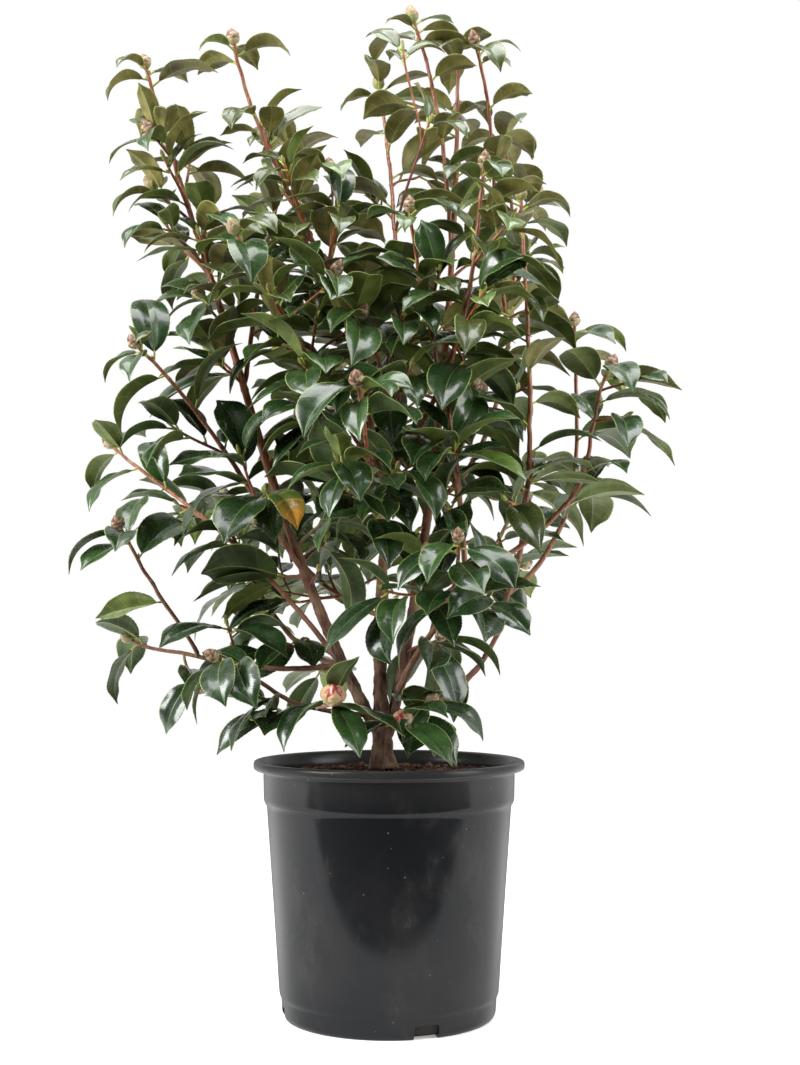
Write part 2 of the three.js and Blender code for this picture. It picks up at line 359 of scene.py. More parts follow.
def settle(piece, slot, *nodes):
    """Ties a finished piece to the plant's body and hides the solids it stands for. The slot is not
    used.
    """
    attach(piece, "root")
    if nodes:
        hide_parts(*nodes)
    return piece


# %% [markdown]
# ## Where the wood runs
# Each limb is packed as one closed, faceted rod. A rod knows nothing of its own middle line, so
# the line is found the way a forester cores a log: cut the rod across, take the centre of the
# cut, step on in the direction it leads, and cut again. That gives the line and the thickness
# together, and it goes on working if the plant is packed again in another shape.

# %% Cut a rod across
CUT_REACH = 18 * MM             # a rod's other turns may cross the same plane further off
SMALLEST_CUT = (0.5 * MM) ** 2
FACET_LOSS = 1.1                # a faceted rod's cut is smaller than its circle by about this


def corners_of(node):
    """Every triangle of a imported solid, as an array of its three corners."""
    mesh = frame["nodes"][node].data
    mesh.calc_loop_triangles()
    points = np.empty(len(mesh.vertices) * 3)
    mesh.vertices.foreach_get("co", points)
    order = np.empty(len(mesh.loop_triangles) * 3, dtype=int)
    mesh.loop_triangles.foreach_get("vertices", order)
    return points.reshape(-1, 3)[order].reshape(-1, 3, 3)


def cut_across(triangles, point, heading):
    """The centre and radius of the cut that a plane makes through a rod near a point."""
    heights = (triangles - point) @ heading
    crossing = (heights > 0).any(1) & (heights <= 0).any(1)
    area = 0.0
    moment = np.zeros(3)
    for corners, height in zip(triangles[crossing], heights[crossing]):
        ends = []
        for a, b in ((0, 1), (1, 2), (2, 0)):
            if (height[a] > 0) != (height[b] > 0):
                share = height[a] / (height[a] - height[b])
                ends.append(corners[a] + share * (corners[b] - corners[a]))
        start, end = ends
        if np.linalg.norm((start + end) / 2 - point) > CUT_REACH:
            continue
        face = np.cross(corners[1] - corners[0], corners[2] - corners[0])
        if np.cross(face, heading) @ (end - start) < 0:
            start, end = end, start
        wedge = np.cross(start - point, end - point) @ heading / 2
        area += wedge
        moment += wedge * (point + start + end) / 3
    if abs(area) < SMALLEST_CUT:
        return None
    return moment / area, FACET_LOSS * math.sqrt(abs(area) / math.pi)


print("A rod can be cut across, which gives its middle and its thickness there.")

# %% [markdown]
# A limb is then followed from one of its ends. The ends are the two corners furthest apart, and
# the corners near each of them show which way the rod runs. Every cut corrects the direction of
# the next. Where another limb has bitten into the rod the cut is too thin to be trusted, so the
# line steps straight on over it, and it ends after several such misses in a row.

# %% Follow a limb from end to end
CUT_STEP = 8 * MM
END_SIZE = 8 * MM
INWARD = 9 * END_SIZE           # a rod's corners up to here show which way it runs from its end
MISSES = 4                      # cuts in a row that find nothing before the rod has ended
DIP = 0.8                       # a cut this much thinner than the last is a bite, or the end


def rod_ends(triangles):
    """The two ends of a rod, each as the middle of its corners there and the way in from it."""
    points = triangles.reshape(-1, 3)
    far = points[np.argmax(np.linalg.norm(points - points.mean(0), axis=1))]
    other = points[np.argmax(np.linalg.norm(points - far, axis=1))]
    ends = []
    for tip in (far, other):
        distance = np.linalg.norm(points - tip, axis=1)
        middle = points[distance < END_SIZE].mean(0)
        beyond = points[(distance >= END_SIZE) & (distance < INWARD)].mean(0)
        ends.append((middle, (beyond - middle) / np.linalg.norm(beyond - middle)))
    return ends


def follow(triangles, start, heading):
    """The line of a rod from one end to the other: a list of centres and one of radii."""
    centres = []
    radii = []
    missed = 0
    point = start
    while missed < MISSES:
        found = cut_across(triangles, point + heading * CUT_STEP, heading)
        if found and (not radii or found[1] > DIP * radii[-1]):
            centre, radius = found
            turned = (centre - point) / np.linalg.norm(centre - point)
            heading = (heading + turned) / np.linalg.norm(heading + turned)
            missed = 0
        else:
            centre = point + heading * CUT_STEP
            radius = radii[-1] if radii else MM
            missed += 1
        centres.append(centre)
        radii.append(radius)
        point = centre
    return centres[:-MISSES], radii[:-MISSES]


print("A limb's line can now be read from its solid.")

# %% [markdown]
# The limbs have to be joined up again, because each was packed as a rod of its own. Starting from
# the stem that stands lowest, the limb whose end lies closest to wood already found is taken
# next, with that end as its foot. So the plant is put together in the order in which it grew.

# %% Join the limbs into one plant


class Limb:
    """A line of wood: its points from foot to tip, the radius at each, and what it grows on."""

    def __init__(self, name, points, radii, parent=None):
        self.name = name
        self.points = [Vector(p) for p in points]
        self.radii = list(radii)
        self.parent = parent

    def length(self):
        return sum((b - a).length for a, b in zip(self.points, self.points[1:]))

    def heading(self, index):
        """The direction of growth at one of its points."""
        low = max(index - 1, 0)
        high = min(index + 1, len(self.points) - 1)
        return (self.points[high] - self.points[low]).normalized()


def gap_to(limb, place):
    """How far a place is from a limb's surface, and the nearest point of the limb's line."""
    best = min(range(len(limb.points)), key=lambda i: (limb.points[i] - place).length)
    return (limb.points[best] - place).length - limb.radii[best], best


wood_nodes = [name for name in frame["nodes"]
              if name not in ("pot", "compost") and not name.endswith("_leaves")]
rods = {name: corners_of(name) for name in wood_nodes}
ends_of = {name: rod_ends(rods[name]) for name in wood_nodes}


def trace(name, foot, parent=None, fork=None):
    """Reads one limb, from the given end of its rod, and seats its foot in its parent."""
    tip, inward = ends_of[name][1 - foot]
    centres, radii = follow(rods[name], tip, inward)
    points = [Vector(tip), *map(Vector, centres)][::-1]
    radii = [*radii[::-1], radii[0]]
    if parent:
        points = [parent.points[fork], *points]
        radii = [radii[0], *radii]
    return Limb(name, points, radii, parent)


def nearest_end(name):
    """The smallest gap between an end of this rod and the wood found so far."""
    choices = []
    for foot, (place, _) in enumerate(ends_of[name]):
        for limb in limbs.values():
            gap, fork = gap_to(limb, Vector(place))
            choices.append((gap, foot, limb, fork))
    return min(choices, key=lambda choice: choice[0])


first = min(wood_nodes, key=lambda name: rods[name][:, :, 2].min())
first_foot = min((0, 1), key=lambda end: ends_of[first][end][0][2])
limbs = {first: trace(first, first_foot)}
while len(limbs) < len(wood_nodes):
    near = {name: nearest_end(name) for name in wood_nodes if name not in limbs}
    name = min(near, key=lambda name: near[name][0])
    _, foot, parent, fork = near[name]
    limbs[name] = trace(name, foot, parent, fork)

for limb in limbs.values():
    on = limb.parent.name if limb.parent else "the compost"
    print(f"{limb.name}: {limb.length() * 1000:.0f} mm long, on {on}")

# %% [markdown]
# ## The masses of foliage
# A packed mass is a closed lump, and no leaf can be read from it. What it does tell is where
# foliage may be: how deep inside it any place lies, and which of its corners is the far one. That
# corner is where the shoot inside it ends, and it is known by the narrow facets that meet there.

# %% Measure the masses
CAKE_SLICES = (8, 10)           # the fewest and most facets that meet at the far corner
SLICED_HELP = 0.2               # what such a corner is worth, as a share of the mass's span
FAR_OUT = 40 * MM               # places further out of every mass than this all count the same


class Mass:
    """A packed mass of foliage: its solid as a search tree, and how deep a place lies in it."""

    def __init__(self, node):
        self.node = node
        triangles = corners_of(node).reshape(-1, 3)
        faces = np.arange(len(triangles)).reshape(-1, 3).tolist()
        self.tree = BVHTree.FromPolygons([Vector(p) for p in triangles], faces)
        self.corners, self.facets = np.unique(triangles.round(5), axis=0, return_counts=True)
        self.low = Vector(triangles.min(0))
        self.high = Vector(triangles.max(0))
        self.span = (self.high - self.low).length

    def depth(self, place):
        """How far inside the solid a place is, or below zero, how far outside."""
        near, normal, _, distance = self.tree.find_nearest(place)
        return distance if (near - place).dot(normal) > 0 else -distance

    def crown_from(self, start):
        """The far end of the mass: its facets meet like the slices of a cake round that corner."""
        reach = np.linalg.norm(self.corners - np.array(start), axis=1) / self.span
        sliced = (self.facets >= CAKE_SLICES[0]) & (self.facets <= CAKE_SLICES[1])
        return Vector(self.corners[np.argmax(reach + SLICED_HELP * sliced)])


masses = {name: Mass(name + "_leaves") for name in limbs if name + "_leaves" in frame["nodes"]}


def crown_depth(place):
    """How far inside the crown a place is, whichever mass it is in. Below zero is outside."""
    best = -FAR_OUT
    for mass in masses.values():
        if all(mass.low[i] - FAR_OUT < place[i] < mass.high[i] + FAR_OUT for i in range(3)):
            best = max(best, mass.depth(place))
    return best


print(f"{len(masses)} masses of foliage are measured.")

# %% [markdown]
# ## Leading shoots
# On the plant each bough runs on through its own foliage and ends in a bud just under the topmost
# leaves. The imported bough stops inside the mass, so its leading shoot is drawn on from there. A
# Bezier curve that leaves the wood in the direction in which it was growing, and arrives at the
# far corner of the mass, gives an even, natural sweep. A small sway at every leaf joint keeps it
# from looking like wire.

# %% Carry each bough on to its end bud
SHOOT_STEP = 6 * MM
CREST = 16 * MM                 # how far leaves stand above the end bud
BUD_RADIUS = 1.6 * MM           # of the shoot, just under its end bud
SWAY = 0.9 * MM
SWAY_PACE = 0.35                # how fast a shoot sways to and fro, point by point
SWAY_ENDS = 4                   # the sway fades out over this many points at each end
CROWN_SHARE = 0.45              # corners this close to the far one show which way it points
ASKEW = Vector((0.31, -0.95, 0.05))             # a direction in which no shoot grows


def curve(start, leaving, end, arriving, step):
    """Points along a Bezier curve, given the directions in which it leaves and arrives."""
    third = (end - start).length / 3
    after = start + leaving.normalized() * third
    before = end - arriving.normalized() * third
    count = max(int((end - start).length * 1.05 / step), 3)
    points = []
    for i in range(count + 1):
        t = i / count
        s = 1 - t
        points.append(s ** 3 * start + 3 * s * s * t * after
                      + 3 * s * t * t * before + t ** 3 * end)
    return points


def sideways(heading):
    """Two directions square to this one, and to each other."""
    across = heading.cross(ASKEW).normalized()
    return across, heading.cross(across).normalized()


def sway(points, amount, seed):
    """Moves the inner points of a shoot a little to and fro, leaving its ends in place."""
    moved = [points[0]]
    for i, point in enumerate(points[1:-1], 1):
        across, along = sideways((points[i + 1] - points[i - 1]).normalized())
        fade = min(i, len(points) - 1 - i, SWAY_ENDS) / SWAY_ENDS
        turn = noise.noise(Vector((SWAY_PACE * i, seed, 0)))
        lean = noise.noise(Vector((SWAY_PACE * i, seed, 9)))
        moved.append(point + (across * turn + along * lean) * 2 * amount * fade)
    return [*moved, points[-1]]


def lead_on(limb, mass, seed):
    """Adds the leading shoot to a limb, and notes where the shoot begins."""
    limb.leafy_from = len(limb.points) - 1
    start = limb.points[-1]
    heading = (start - limb.points[-4]).normalized()
    crown = mass.crown_from(start)
    near_crown = mass.corners[np.linalg.norm(mass.corners - np.array(crown), axis=1)
                              < CROWN_SHARE * (crown - start).length]
    arriving = (crown - Vector(near_crown.mean(0))).normalized()
    bud = crown - arriving * CREST
    shoot = curve(start, heading, bud, 2 * arriving + heading, SHOOT_STEP)
    shoot = sway(shoot, SWAY, seed)
    thick = limb.radii[-1]
    for i, point in enumerate(shoot[1:], 1):
        limb.points.append(point)
        limb.radii.append(thick + (BUD_RADIUS - thick) * i / (len(shoot) - 1))
    limb.mass = mass


for seed, (name, mass) in enumerate(masses.items()):
    lead_on(limbs[name], mass, seed)
print(f"{len(masses)} boughs now run on to their end buds.")

# %% [markdown]
# ## Side shoots
# A camellia fills its outline by side shoots. They could be spaced evenly, but a real plant has
# them where there is room. So their tips are scattered through each mass like thrown darts, and a
# dart that lands too close to another is thrown away. The crown opens towards its sides and its
# top, so there the darts keep further apart.

# %% Find room for the tips of side shoots
TIP_DEPTH = 20 * MM             # a tip lies at least this deep, so that its leaves reach the outline
TIP_SPACING = 38 * MM           # in the thick of the crown
OPEN_SPACING = 1.3              # tips are wider apart by this share where the crown is open
DARTS = 600
OPEN_SIDES = ((0.12, 0), (0.2, 1))              # distance from the pot's axis, and openness there
OPEN_TOP = ((0.72, 0), (0.88, 0.4))             # height as a share of the plant's, and openness
SIDES_CLOSE = ((0.66, 1), (0.76, 0.25))         # how much of the openness the upper sides keep


def read_off(table, value):
    """A value from a short table of pairs, in between them in proportion."""
    return float(np.interp(value, *zip(*table)))


def openness(place):
    """0 in the thick of the crown, rising to 1 at its open sides."""
    height = place[2] / plant_height
    at_side = read_off(OPEN_SIDES, math.hypot(place[0], place[1])) * read_off(SIDES_CLOSE, height)
    return max(at_side, read_off(OPEN_TOP, height))


class Crowd:
    """Places on a grid of small boxes, so that the nearest one is found quickly."""

    def __init__(self, size):
        self.size = size
        self.boxes = {}

    def box(self, place):
        return tuple(int(math.floor(c / self.size)) for c in place)

    def add(self, place):
        self.boxes.setdefault(self.box(place), []).append(Vector(place))

    def nearest(self, place):
        """The distance to the nearest place, or the size of a box if none is closer."""
        x, y, z = self.box(place)
        best = self.size
        for i in (x - 1, x, x + 1):
            for j in (y - 1, y, y + 1):
                for k in (z - 1, z, z + 1):
                    for other in self.boxes.get((i, j, k), ()):
                        best = min(best, (other - place).length)
        return best


def throw_darts(mass, tips, rng, fullness):
    """Places for shoot tips inside a mass, none too close to another."""
    landed = []
    for _ in range(DARTS):
        place = Vector([rng.uniform(a, b) for a, b in zip(mass.low, mass.high)])
        room = TIP_SPACING * (1 + OPEN_SPACING * openness(place)) / fullness
        if tips.nearest(place) < room or mass.depth(place) < TIP_DEPTH:
            continue
        tips.add(place)
        landed.append(place)
    return landed


print(f"Tips keep {TIP_SPACING * 1000:.0f} mm apart, and more where the crown is open.")

# %% [markdown]
# A side shoot leaves its bough at a narrow angle and turns up to the light. Each tip is reached
# from the piece of wood that could most easily have grown to it: a close one, at about the usual
# angle. Lower tips go first, so that a high one can also branch from a side shoot below it.
# Some masses are fuller of shoots than others, which is a number for each, by name.

# %% Grow the side shoots
FULLNESS = {"left_stem": 1.45, "tall_left_stem": 1.1, "outer_left": 1.2, "slant_left": 1.35,
            "low_front_left": 0.75, "inner_left": 1.3, "mid_left": 1.15,
            "upright_right": 0.8, "high_right": 0.65, "outer_right": 1.1, "tall_right": 0.8,
            "top_right": 0.75, "top_centre": 0.75, "high_centre": 0.85}
FORK_ANGLE = math.radians(34)
STEEP_FORK = 0.45               # where the crown is open, forks are narrower by this share
SHORTEST = 34 * MM
LONGEST = 190 * MM
EASY_REACH = 47 * MM            # a shoot longer by this takes one unit of effort more
ANGLE_EFFORT = 2.2              # and so many units for each radian off the usual angle
TURN_UP = 0.55                  # how strongly a shoot turns up towards its tip
TURN_OUT = 0.3                  # and away from the middle of the plant


def best_fork(tip, wood):
    """The limb, and the point on it, from which a shoot grows most easily to this tip."""
    best = None
    ideal = FORK_ANGLE * (1 - STEEP_FORK * openness(tip))
    for limb in wood:
        for i in range(max(limb.leafy_from - 3, 1), len(limb.points) - 4):
            way = tip - limb.points[i]
            if not SHORTEST < way.length < LONGEST:
                continue
            off = abs(way.angle(limb.heading(i)) - ideal)
            effort = way.length / EASY_REACH + ANGLE_EFFORT * off
            if best is None or effort < best[0]:
                best = (effort, limb, i)
    return best


def side_shoot(tip, limb, fork, seed):
    """A slim shoot that leaves the limb at a narrow angle and turns up towards its tip."""
    start = limb.points[fork]
    way = (tip - start).normalized()
    leaving = 0.75 * way + 0.6 * limb.heading(fork)
    arriving = way + TURN_UP * UP + TURN_OUT * Vector((tip.x, tip.y, 0)).normalized()
    points = sway(curve(start, leaving, tip, arriving, SHOOT_STEP), SWAY, seed)
    thick = min(0.75 * limb.radii[fork], 1.3 * MM + 0.008 * (tip - start).length)
    radii = np.linspace(thick, 0.75 * BUD_RADIUS, len(points)).tolist()
    shoot = Limb("side_shoot", points, radii, limb)
    shoot.leafy_from = len(points) // 4
    shoot.mass = getattr(limb, "mass", None)
    return shoot


tips = Crowd(TIP_SPACING * (1 + OPEN_SPACING) / min(FULLNESS.values()))
for name in masses:
    tips.add(limbs[name].points[-1])

dice = random.Random(11)
side_shoots = []
for name, mass in masses.items():
    wood = [limbs[name]]
    landed = throw_darts(mass, tips, dice, FULLNESS.get(name, 1))
    for tip in sorted(landed, key=lambda place: place.z):
        fork = best_fork(tip, wood)
        if fork:
            wood.append(side_shoot(tip, fork[1], fork[2], len(side_shoots)))
            side_shoots.append(wood[-1])
print(f"{len(side_shoots)} side shoots fill {len(masses)} masses.")

# %% [markdown]
# The imported masses leave their limbs bare, but on the plant short spurs break from old wood too,
# wherever the crown around them shelters it. A place is sheltered if foliage stands most of the
# way round it. Rays sent out level find that, and spurs then grow from the nearest stem. A few
# spurs are listed one by one: two at the front carry flowers about to open, and three bear the tufts
# that stand a little out of the crown's sides.

# %% Grow spurs inside the crown
SPUR_DARTS = 5000
SPUR_SPACING = ((0.36, 95 * MM), (0.44, 60 * MM), (0.52, 44 * MM))      # by the tip's height
SPUR_LENGTH = (24 * MM, 120 * MM)
SHELTER = 0.6                   # the share of the way round that must be foliage
HEART = 0.125                   # nearer the axis than this, every place counts as sheltered
SHELTER_REACH = 0.2
SPUR_HEIGHTS = (0.30, 0.70)     # above the floor, of the lowest and the highest spur's tip
SPUR_OPENNESS = 0.3             # no spur grows where the crown is more open than this
SPUR_TIPS_APART = 0.8 * TIP_SPACING             # from the tips of side shoots
SPUR_REACH = 60 * MM            # a spur longer by this takes one unit of effort more
SPUR_SEED = 500                 # spurs sway by seeds from here on
FIRST_BARE = 5
BARE_EVERY = 7                  # from that spur on, every seventh has lost its leaves
OPENING_BUDS = [(-0.051, -0.105, 0.308), (0.014, -0.095, 0.287)]    # two flowers about to open
SIDE_TUFTS = [(-0.158, -0.005, 0.375), (0.235, -0.035, 0.612), (0.225, -0.05, 0.575)]


def sheltered(place):
    """The share of twelve level rays from a place that meet foliage."""
    met = 0
    for k in range(12):
        ray = Vector((math.cos(k * math.pi / 6), math.sin(k * math.pi / 6), 0.1))
        met += any(mass.tree.ray_cast(place, ray, SHELTER_REACH)[0] for mass in masses.values())
    return met / 12


def nearest_wood(tip):
    """The limb and point that a spur to this tip would break from."""
    best = None
    for limb in limbs.values():
        for i in range(4, len(limb.points) - 4):
            way = tip - limb.points[i]
            if not SPUR_LENGTH[0] < way.length < SPUR_LENGTH[1]:
                continue
            off = abs(way.angle(limb.heading(i)) - 2 * FORK_ANGLE)
            effort = way.length / SPUR_REACH + off
            if best is None or effort < best[0]:
                best = (effort, limb, i)
    return best


def grow_spur(tip):
    """A spur to this tip, if there is wood that it could break from."""
    fork = nearest_wood(tip)
    if fork:
        spur = side_shoot(tip, fork[1], fork[2], SPUR_SEED + len(spurs))
        spur.leafy_from = len(spur.points) // 2
        spur_tips.add(tip)
        spurs.append(spur)


spurs = []
spur_tips = Crowd(SPUR_SPACING[0][1])
for tip in OPENING_BUDS:
    grow_spur(Vector(tip))
low, high = Vector(cad_low), Vector(cad_high)
for _ in range(SPUR_DARTS):
    tip = Vector([dice.uniform(a, b) for a, b in zip(low, high)])
    room = read_off(SPUR_SPACING, tip.z)
    if not SPUR_HEIGHTS[0] < tip.z < SPUR_HEIGHTS[1]:
        continue
    if openness(tip) > SPUR_OPENNESS or spur_tips.nearest(tip) < room:
        continue
    if tips.nearest(tip) < SPUR_TIPS_APART or crown_depth(tip) > 0:
        continue
    if math.hypot(tip.x, tip.y) > HEART and sheltered(tip) < SHELTER:
        continue
    grow_spur(tip)
bare_twigs = spurs[FIRST_BARE::BARE_EVERY]
for tip in SIDE_TUFTS:
    grow_spur(Vector(tip))
print(f"{len(spurs)} spurs grow from bare wood inside the crown, {len(bare_twigs)} of them leafless.")

# %% [markdown]
# ## Bark
# A stem is round, and tapers and bends without a break. Blender's own curves can carry a tube, but
# its skin could then not be shaped point by point, as bark needs. So rings of points are swept
# along each line here, and turned as little as possible from one to the next.

# %% Sweep a tube along a line


def resampled(points, radii, step):
    """The same line with its points an even step apart."""
    lengths = [0.0]
    for a, b in zip(points, points[1:]):
        lengths.append(lengths[-1] + (b - a).length)
    count = max(int(lengths[-1] / step), 4)
    where = np.linspace(0, lengths[-1], count + 1)
    rows = np.array([tuple(p) for p in points])
    even = np.stack([np.interp(where, lengths, rows[:, i]) for i in range(3)], axis=1)
    for _ in range(3):
        even[1:-1] = (even[:-2] + 2 * even[1:-1] + even[2:]) / 4
    return [Vector(p) for p in even], np.interp(where, lengths, radii).tolist(), where.tolist()


def rings_along(points):
    """A pair of crosswise directions for each point, carried along without twisting."""
    across, _ = sideways((points[1] - points[0]).normalized())
    frames = []
    for i in range(len(points)):
        heading = (points[min(i + 1, len(points) - 1)] - points[max(i - 1, 0)]).normalized()
        across = (across - across.dot(heading) * heading).normalized()
        frames.append((across, heading.cross(across)))
    return frames


def tube(points, radii, sides, relief=None):
    """Rings of points round a line. relief gives how far each point stands out or in."""
    ring_points = []
    for i, (point, (across, along)) in enumerate(zip(points, rings_along(points))):
        for j in range(sides):
            angle = 2 * math.pi * j / sides
            outward = math.cos(angle) * across + math.sin(angle) * along
            radius = radii[i] + (relief(i, angle) if relief else 0)
            ring_points.append(point + radius * outward)
    return ring_points


def tube_faces(rings, sides):
    """The faces of a tube, with a cap on each end."""
    faces = []
    for i in range(rings - 1):
        low = i * sides
        for j in range(sides):
            k = (j + 1) % sides
            faces.append((low + j, low + k, low + sides + k, low + sides + j))
    last = (rings - 1) * sides
    faces.append(tuple(reversed(range(sides))))
    faces.append(tuple(last + j for j in range(sides)))
    return faces


print("A tube can be swept along any line.")

# %% [markdown]
# Old camellia stems are grey brown and finely ridged, and the young ones are smooth and coppery
# red, with a swollen ring at each leaf joint. Noise that is stretched along the grain pushes the
# skin in and out, more on old wood than on young. A bump in the material would be cheaper, but
# real ridges also show in the stem's outline. An age stored at every point lets one material pass
# slowly from the one bark to the other.

# %% Shape the bark
BARK_STEP = 3 * MM
STOUT = 4 * MM
STEM_SIDES = (36, 20)           # of a limb whose foot is thicker than that, and of a slimmer one
RIDGE = 0.24                    # depth of old bark's ridges, as a share of the stem's radius
LUMPS = 0.15                    # and of its broad hollows
SWELLING = 0.2                  # and of the rings at the joints of young wood
JOINT_SPACING = 27 * MM
JOINT_WIDE = 0.055              # as a share of that spacing
FLARE = 0.3                     # how much thicker a limb is where it springs from another
FLARE_LONG = 2.2                # times the radius there
OLD_THICK = (2.5 * MM, 3.0 * MM)                # wood ages from this radius on, over this more
OLD_LOW = (0.56, 0.2)           # and below this height, over this much further down


def age_of(radius, height):
    """0 for smooth young wood, 1 for ridged old bark: thick wood near the ground is oldest."""
    thick = (radius - OLD_THICK[0]) / OLD_THICK[1]
    low = (OLD_LOW[0] - height) / OLD_LOW[1]
    return min(max(0.45 * thick + 0.6 * low, 0), 1)


def bark_relief(radii, where, ages, seed):
    """Ridges and hollows on old wood, and a faint swelling at the joints of young wood."""
    def relief(i, angle):
        radius = radii[i]
        around = Vector((math.cos(angle), math.sin(angle), 0)) * 2.6
        along = where[i] / (14 * radius + 20 * MM)
        ridge = noise.fractal(around + Vector((seed, 0, 4 * along)), 0.5, 2.3, 4)
        lump = noise.noise(around * 0.5 + Vector((0, seed, 9 * along)))
        joint = math.exp(-(((where[i] / JOINT_SPACING) % 1 - 0.5) / JOINT_WIDE) ** 2)
        old = ages[i]
        return radius * (RIDGE * old * ridge + LUMPS * lump * (0.2 + old)
                         + SWELLING * (1 - old) * joint)
    return relief


def wood_piece(limb, seed):
    """The mesh of one limb with its bark, from a flared foot to its end bud."""
    points, radii, where = resampled(limb.points, limb.radii, BARK_STEP)
    ages = [age_of(r, p.z) for r, p in zip(radii, points)]
    fade = FLARE_LONG * radii[0]
    radii = [r * (1 + FLARE * math.exp(-w / fade)) for r, w in zip(radii, where)]
    sides = STEM_SIDES[0] if radii[0] > STOUT else STEM_SIDES[1]
    skin = tube(points, radii, sides, bark_relief(radii, where, ages, seed))
    piece = join_piece(limb.name + "_wood", skin, tube_faces(len(points), sides), [wood_finish])
    age = piece.data.attributes.new("age", "FLOAT", "POINT")
    age.data.foreach_set("value", np.repeat(ages, sides))
    return piece


oldest = max(age_of(limb.radii[0], limb.points[0].z) for limb in limbs.values())
print(f"Bark can be shaped. The oldest foot has an age of {oldest:.2f}, and a bud's wood has 0.")

# %% [markdown]
# The wood's finish blends two barks by that stored age. Young bark is coppery red with paler
# streaks and a waxy sheen. Old bark is grey brown, mottled, dull, and streaked darker along its
# grain, partly the colour of its cracks and partly painted shade. One material for both avoids a
# seam where a stem passes from the one to the other.

# %% Finish the bark
YOUNG_RED = colour(128, 68, 40)
YOUNG_PALE = colour(180, 116, 76)
YOUNG_GREEN = colour(132, 112, 62)
YOUNG_SKIN = colour(186, 142, 112)
OLD_BROWN = colour(76, 50, 36)
OLD_GREY = colour(124, 98, 78)
OLD_CRACK_AND_SHADE = colour(34, 23, 17)


def finish_wood():
    made = Finish("camellia_bark", YOUNG_RED, 0.45, Specular_IOR_Level=0.45)
    age = add_node(made.tree, "ShaderNodeAttribute", attribute_name="age").outputs["Fac"]
    grain = made.noise(110, 4, made.stretched((1, 1, 0.12)))
    blotch = made.noise(38, 3)
    fine = made.noise(300, 3, made.stretched((1, 1, 0.2)))
    young = made.tint(YOUNG_RED, YOUNG_PALE, made.spread(grain, 0.42, 0.68, 0, 0.5))
    young = made.tint(young, YOUNG_SKIN, made.spread(fine, 0.5, 0.66, 0, 0.75))
    young = made.tint(young, YOUNG_GREEN, made.spread(blotch, 0.6, 0.78, 0, 0.55))
    old = made.tint(OLD_BROWN, OLD_GREY, made.spread(blotch, 0.42, 0.62))
    # dark streaks on old bark: partly the cracks' own colour, partly painted shade
    old = made.tint(old, OLD_CRACK_AND_SHADE, made.spread(fine, 0.5, 0.7, 0, 0.9))
    made.paint(made.tint(young, old, age))
    made.gloss(made.spread(age, 0, 1, 0.34, 0.86))
    made.emboss(fine, 0.8 * MM, 0.5)
    made.emboss(grain, 1.0 * MM, 0.5)
    return made.material


BARK_FROM = 3.2 * MM            # a limb with a foot thicker than this is called bark
SEED_STEP = 3.7                 # how far apart in the noise two limbs are

wood_finish = finish_wood()
for seed, limb in enumerate(limbs.values()):
    piece = wood_piece(limb, SEED_STEP * seed)
    settle(piece, "bark" if limb.radii[0] > BARK_FROM else "young_wood", limb.name)
print(f"{len(limbs)} limbs have their bark.")

# %% [markdown]
# The side shoots are all young wood, too slim for ridges, so they share one mesh. They differ a
# little in colour, as shoots do with the sun that reached them. Three plain tints of one finish
# are dealt out shoot by shoot.

# %% Add the side shoots' wood
SHOOT_SIDES = 8
SHOOT_TINTS = {
    "coppery": colour(138, 78, 46),
    "dark_red": colour(98, 52, 36),
    "greenish": colour(112, 98, 56),
}
LOW_TINTS = (0, 1, 1, 2)        # the tints, by number, dealt to shoots in the lower half
HIGH_TINTS = (0, 0, 0, 1)       # and in the upper half


def finish_shoot(name, tint):
    made = Finish("shoot_" + name, tint, 0.4, Specular_IOR_Level=0.45)
    streak = made.noise(320, 3, made.stretched((1, 1, 0.2)))
    made.paint(made.tint(tint, shade(tint, 1.9), made.spread(streak, 0.46, 0.68)))
    made.emboss(streak, 0.5 * MM, 0.35)
    return made.material


shoot_finishes = [finish_shoot(name, tint) for name, tint in SHOOT_TINTS.items()]


def joined_shoots(shoots, rng):
    """One mesh of many slim tubes, each with a tint of its own."""
    heap = Heap()
    for shoot in shoots:
        line, radii, where = resampled(shoot.points, shoot.radii, SHOOT_STEP)
        relief = bark_relief(radii, where, [0] * len(line), len(heap.faces))
        faces = tube_faces(len(line), SHOOT_SIDES)
        slot = rng.choice(LOW_TINTS if line[-1].z < 0.5 * plant_height else HIGH_TINTS)
        heap.add(tube(line, radii, SHOOT_SIDES, relief), faces, [slot] * len(faces))
    return join_piece("side_shoots", heap.points, heap.faces, shoot_finishes, heap.slots)


settle(joined_shoots(side_shoots + spurs, random.Random(5)), "young_wood")
print(f"The side shoots are {SHOOT_SIDES}-sided tubes in {len(SHOOT_TINTS)} tints.")

# %% [markdown]
# ## A leaf
# A camellia leaf is a stiff, leathery ellipse about 70 mm long. It is folded along a pale midrib,
# arched to a drawn-out tip, puckered a little between its side veins and edged with small teeth.
# A flat card painted like a leaf would lose all of that. Here each leaf is a thin closed
# shell on a grid whose cross lines slant forward like the veins. The grid is laid out flat,
# folded, and then bent along a spine, so that no two leaves need be alike.

# %% Lay out the leaf's grid
ROWS = 20
LEAF_ACROSS = (-1, -0.97, -0.66, -0.34, -0.04, 0.04, 0.34, 0.66, 0.97, 1)
VEINS = 9                       # side veins on each half

UPPER, UNDER, RIB_ABOVE, RIB_BELOW, EDGE, STALK = range(6)


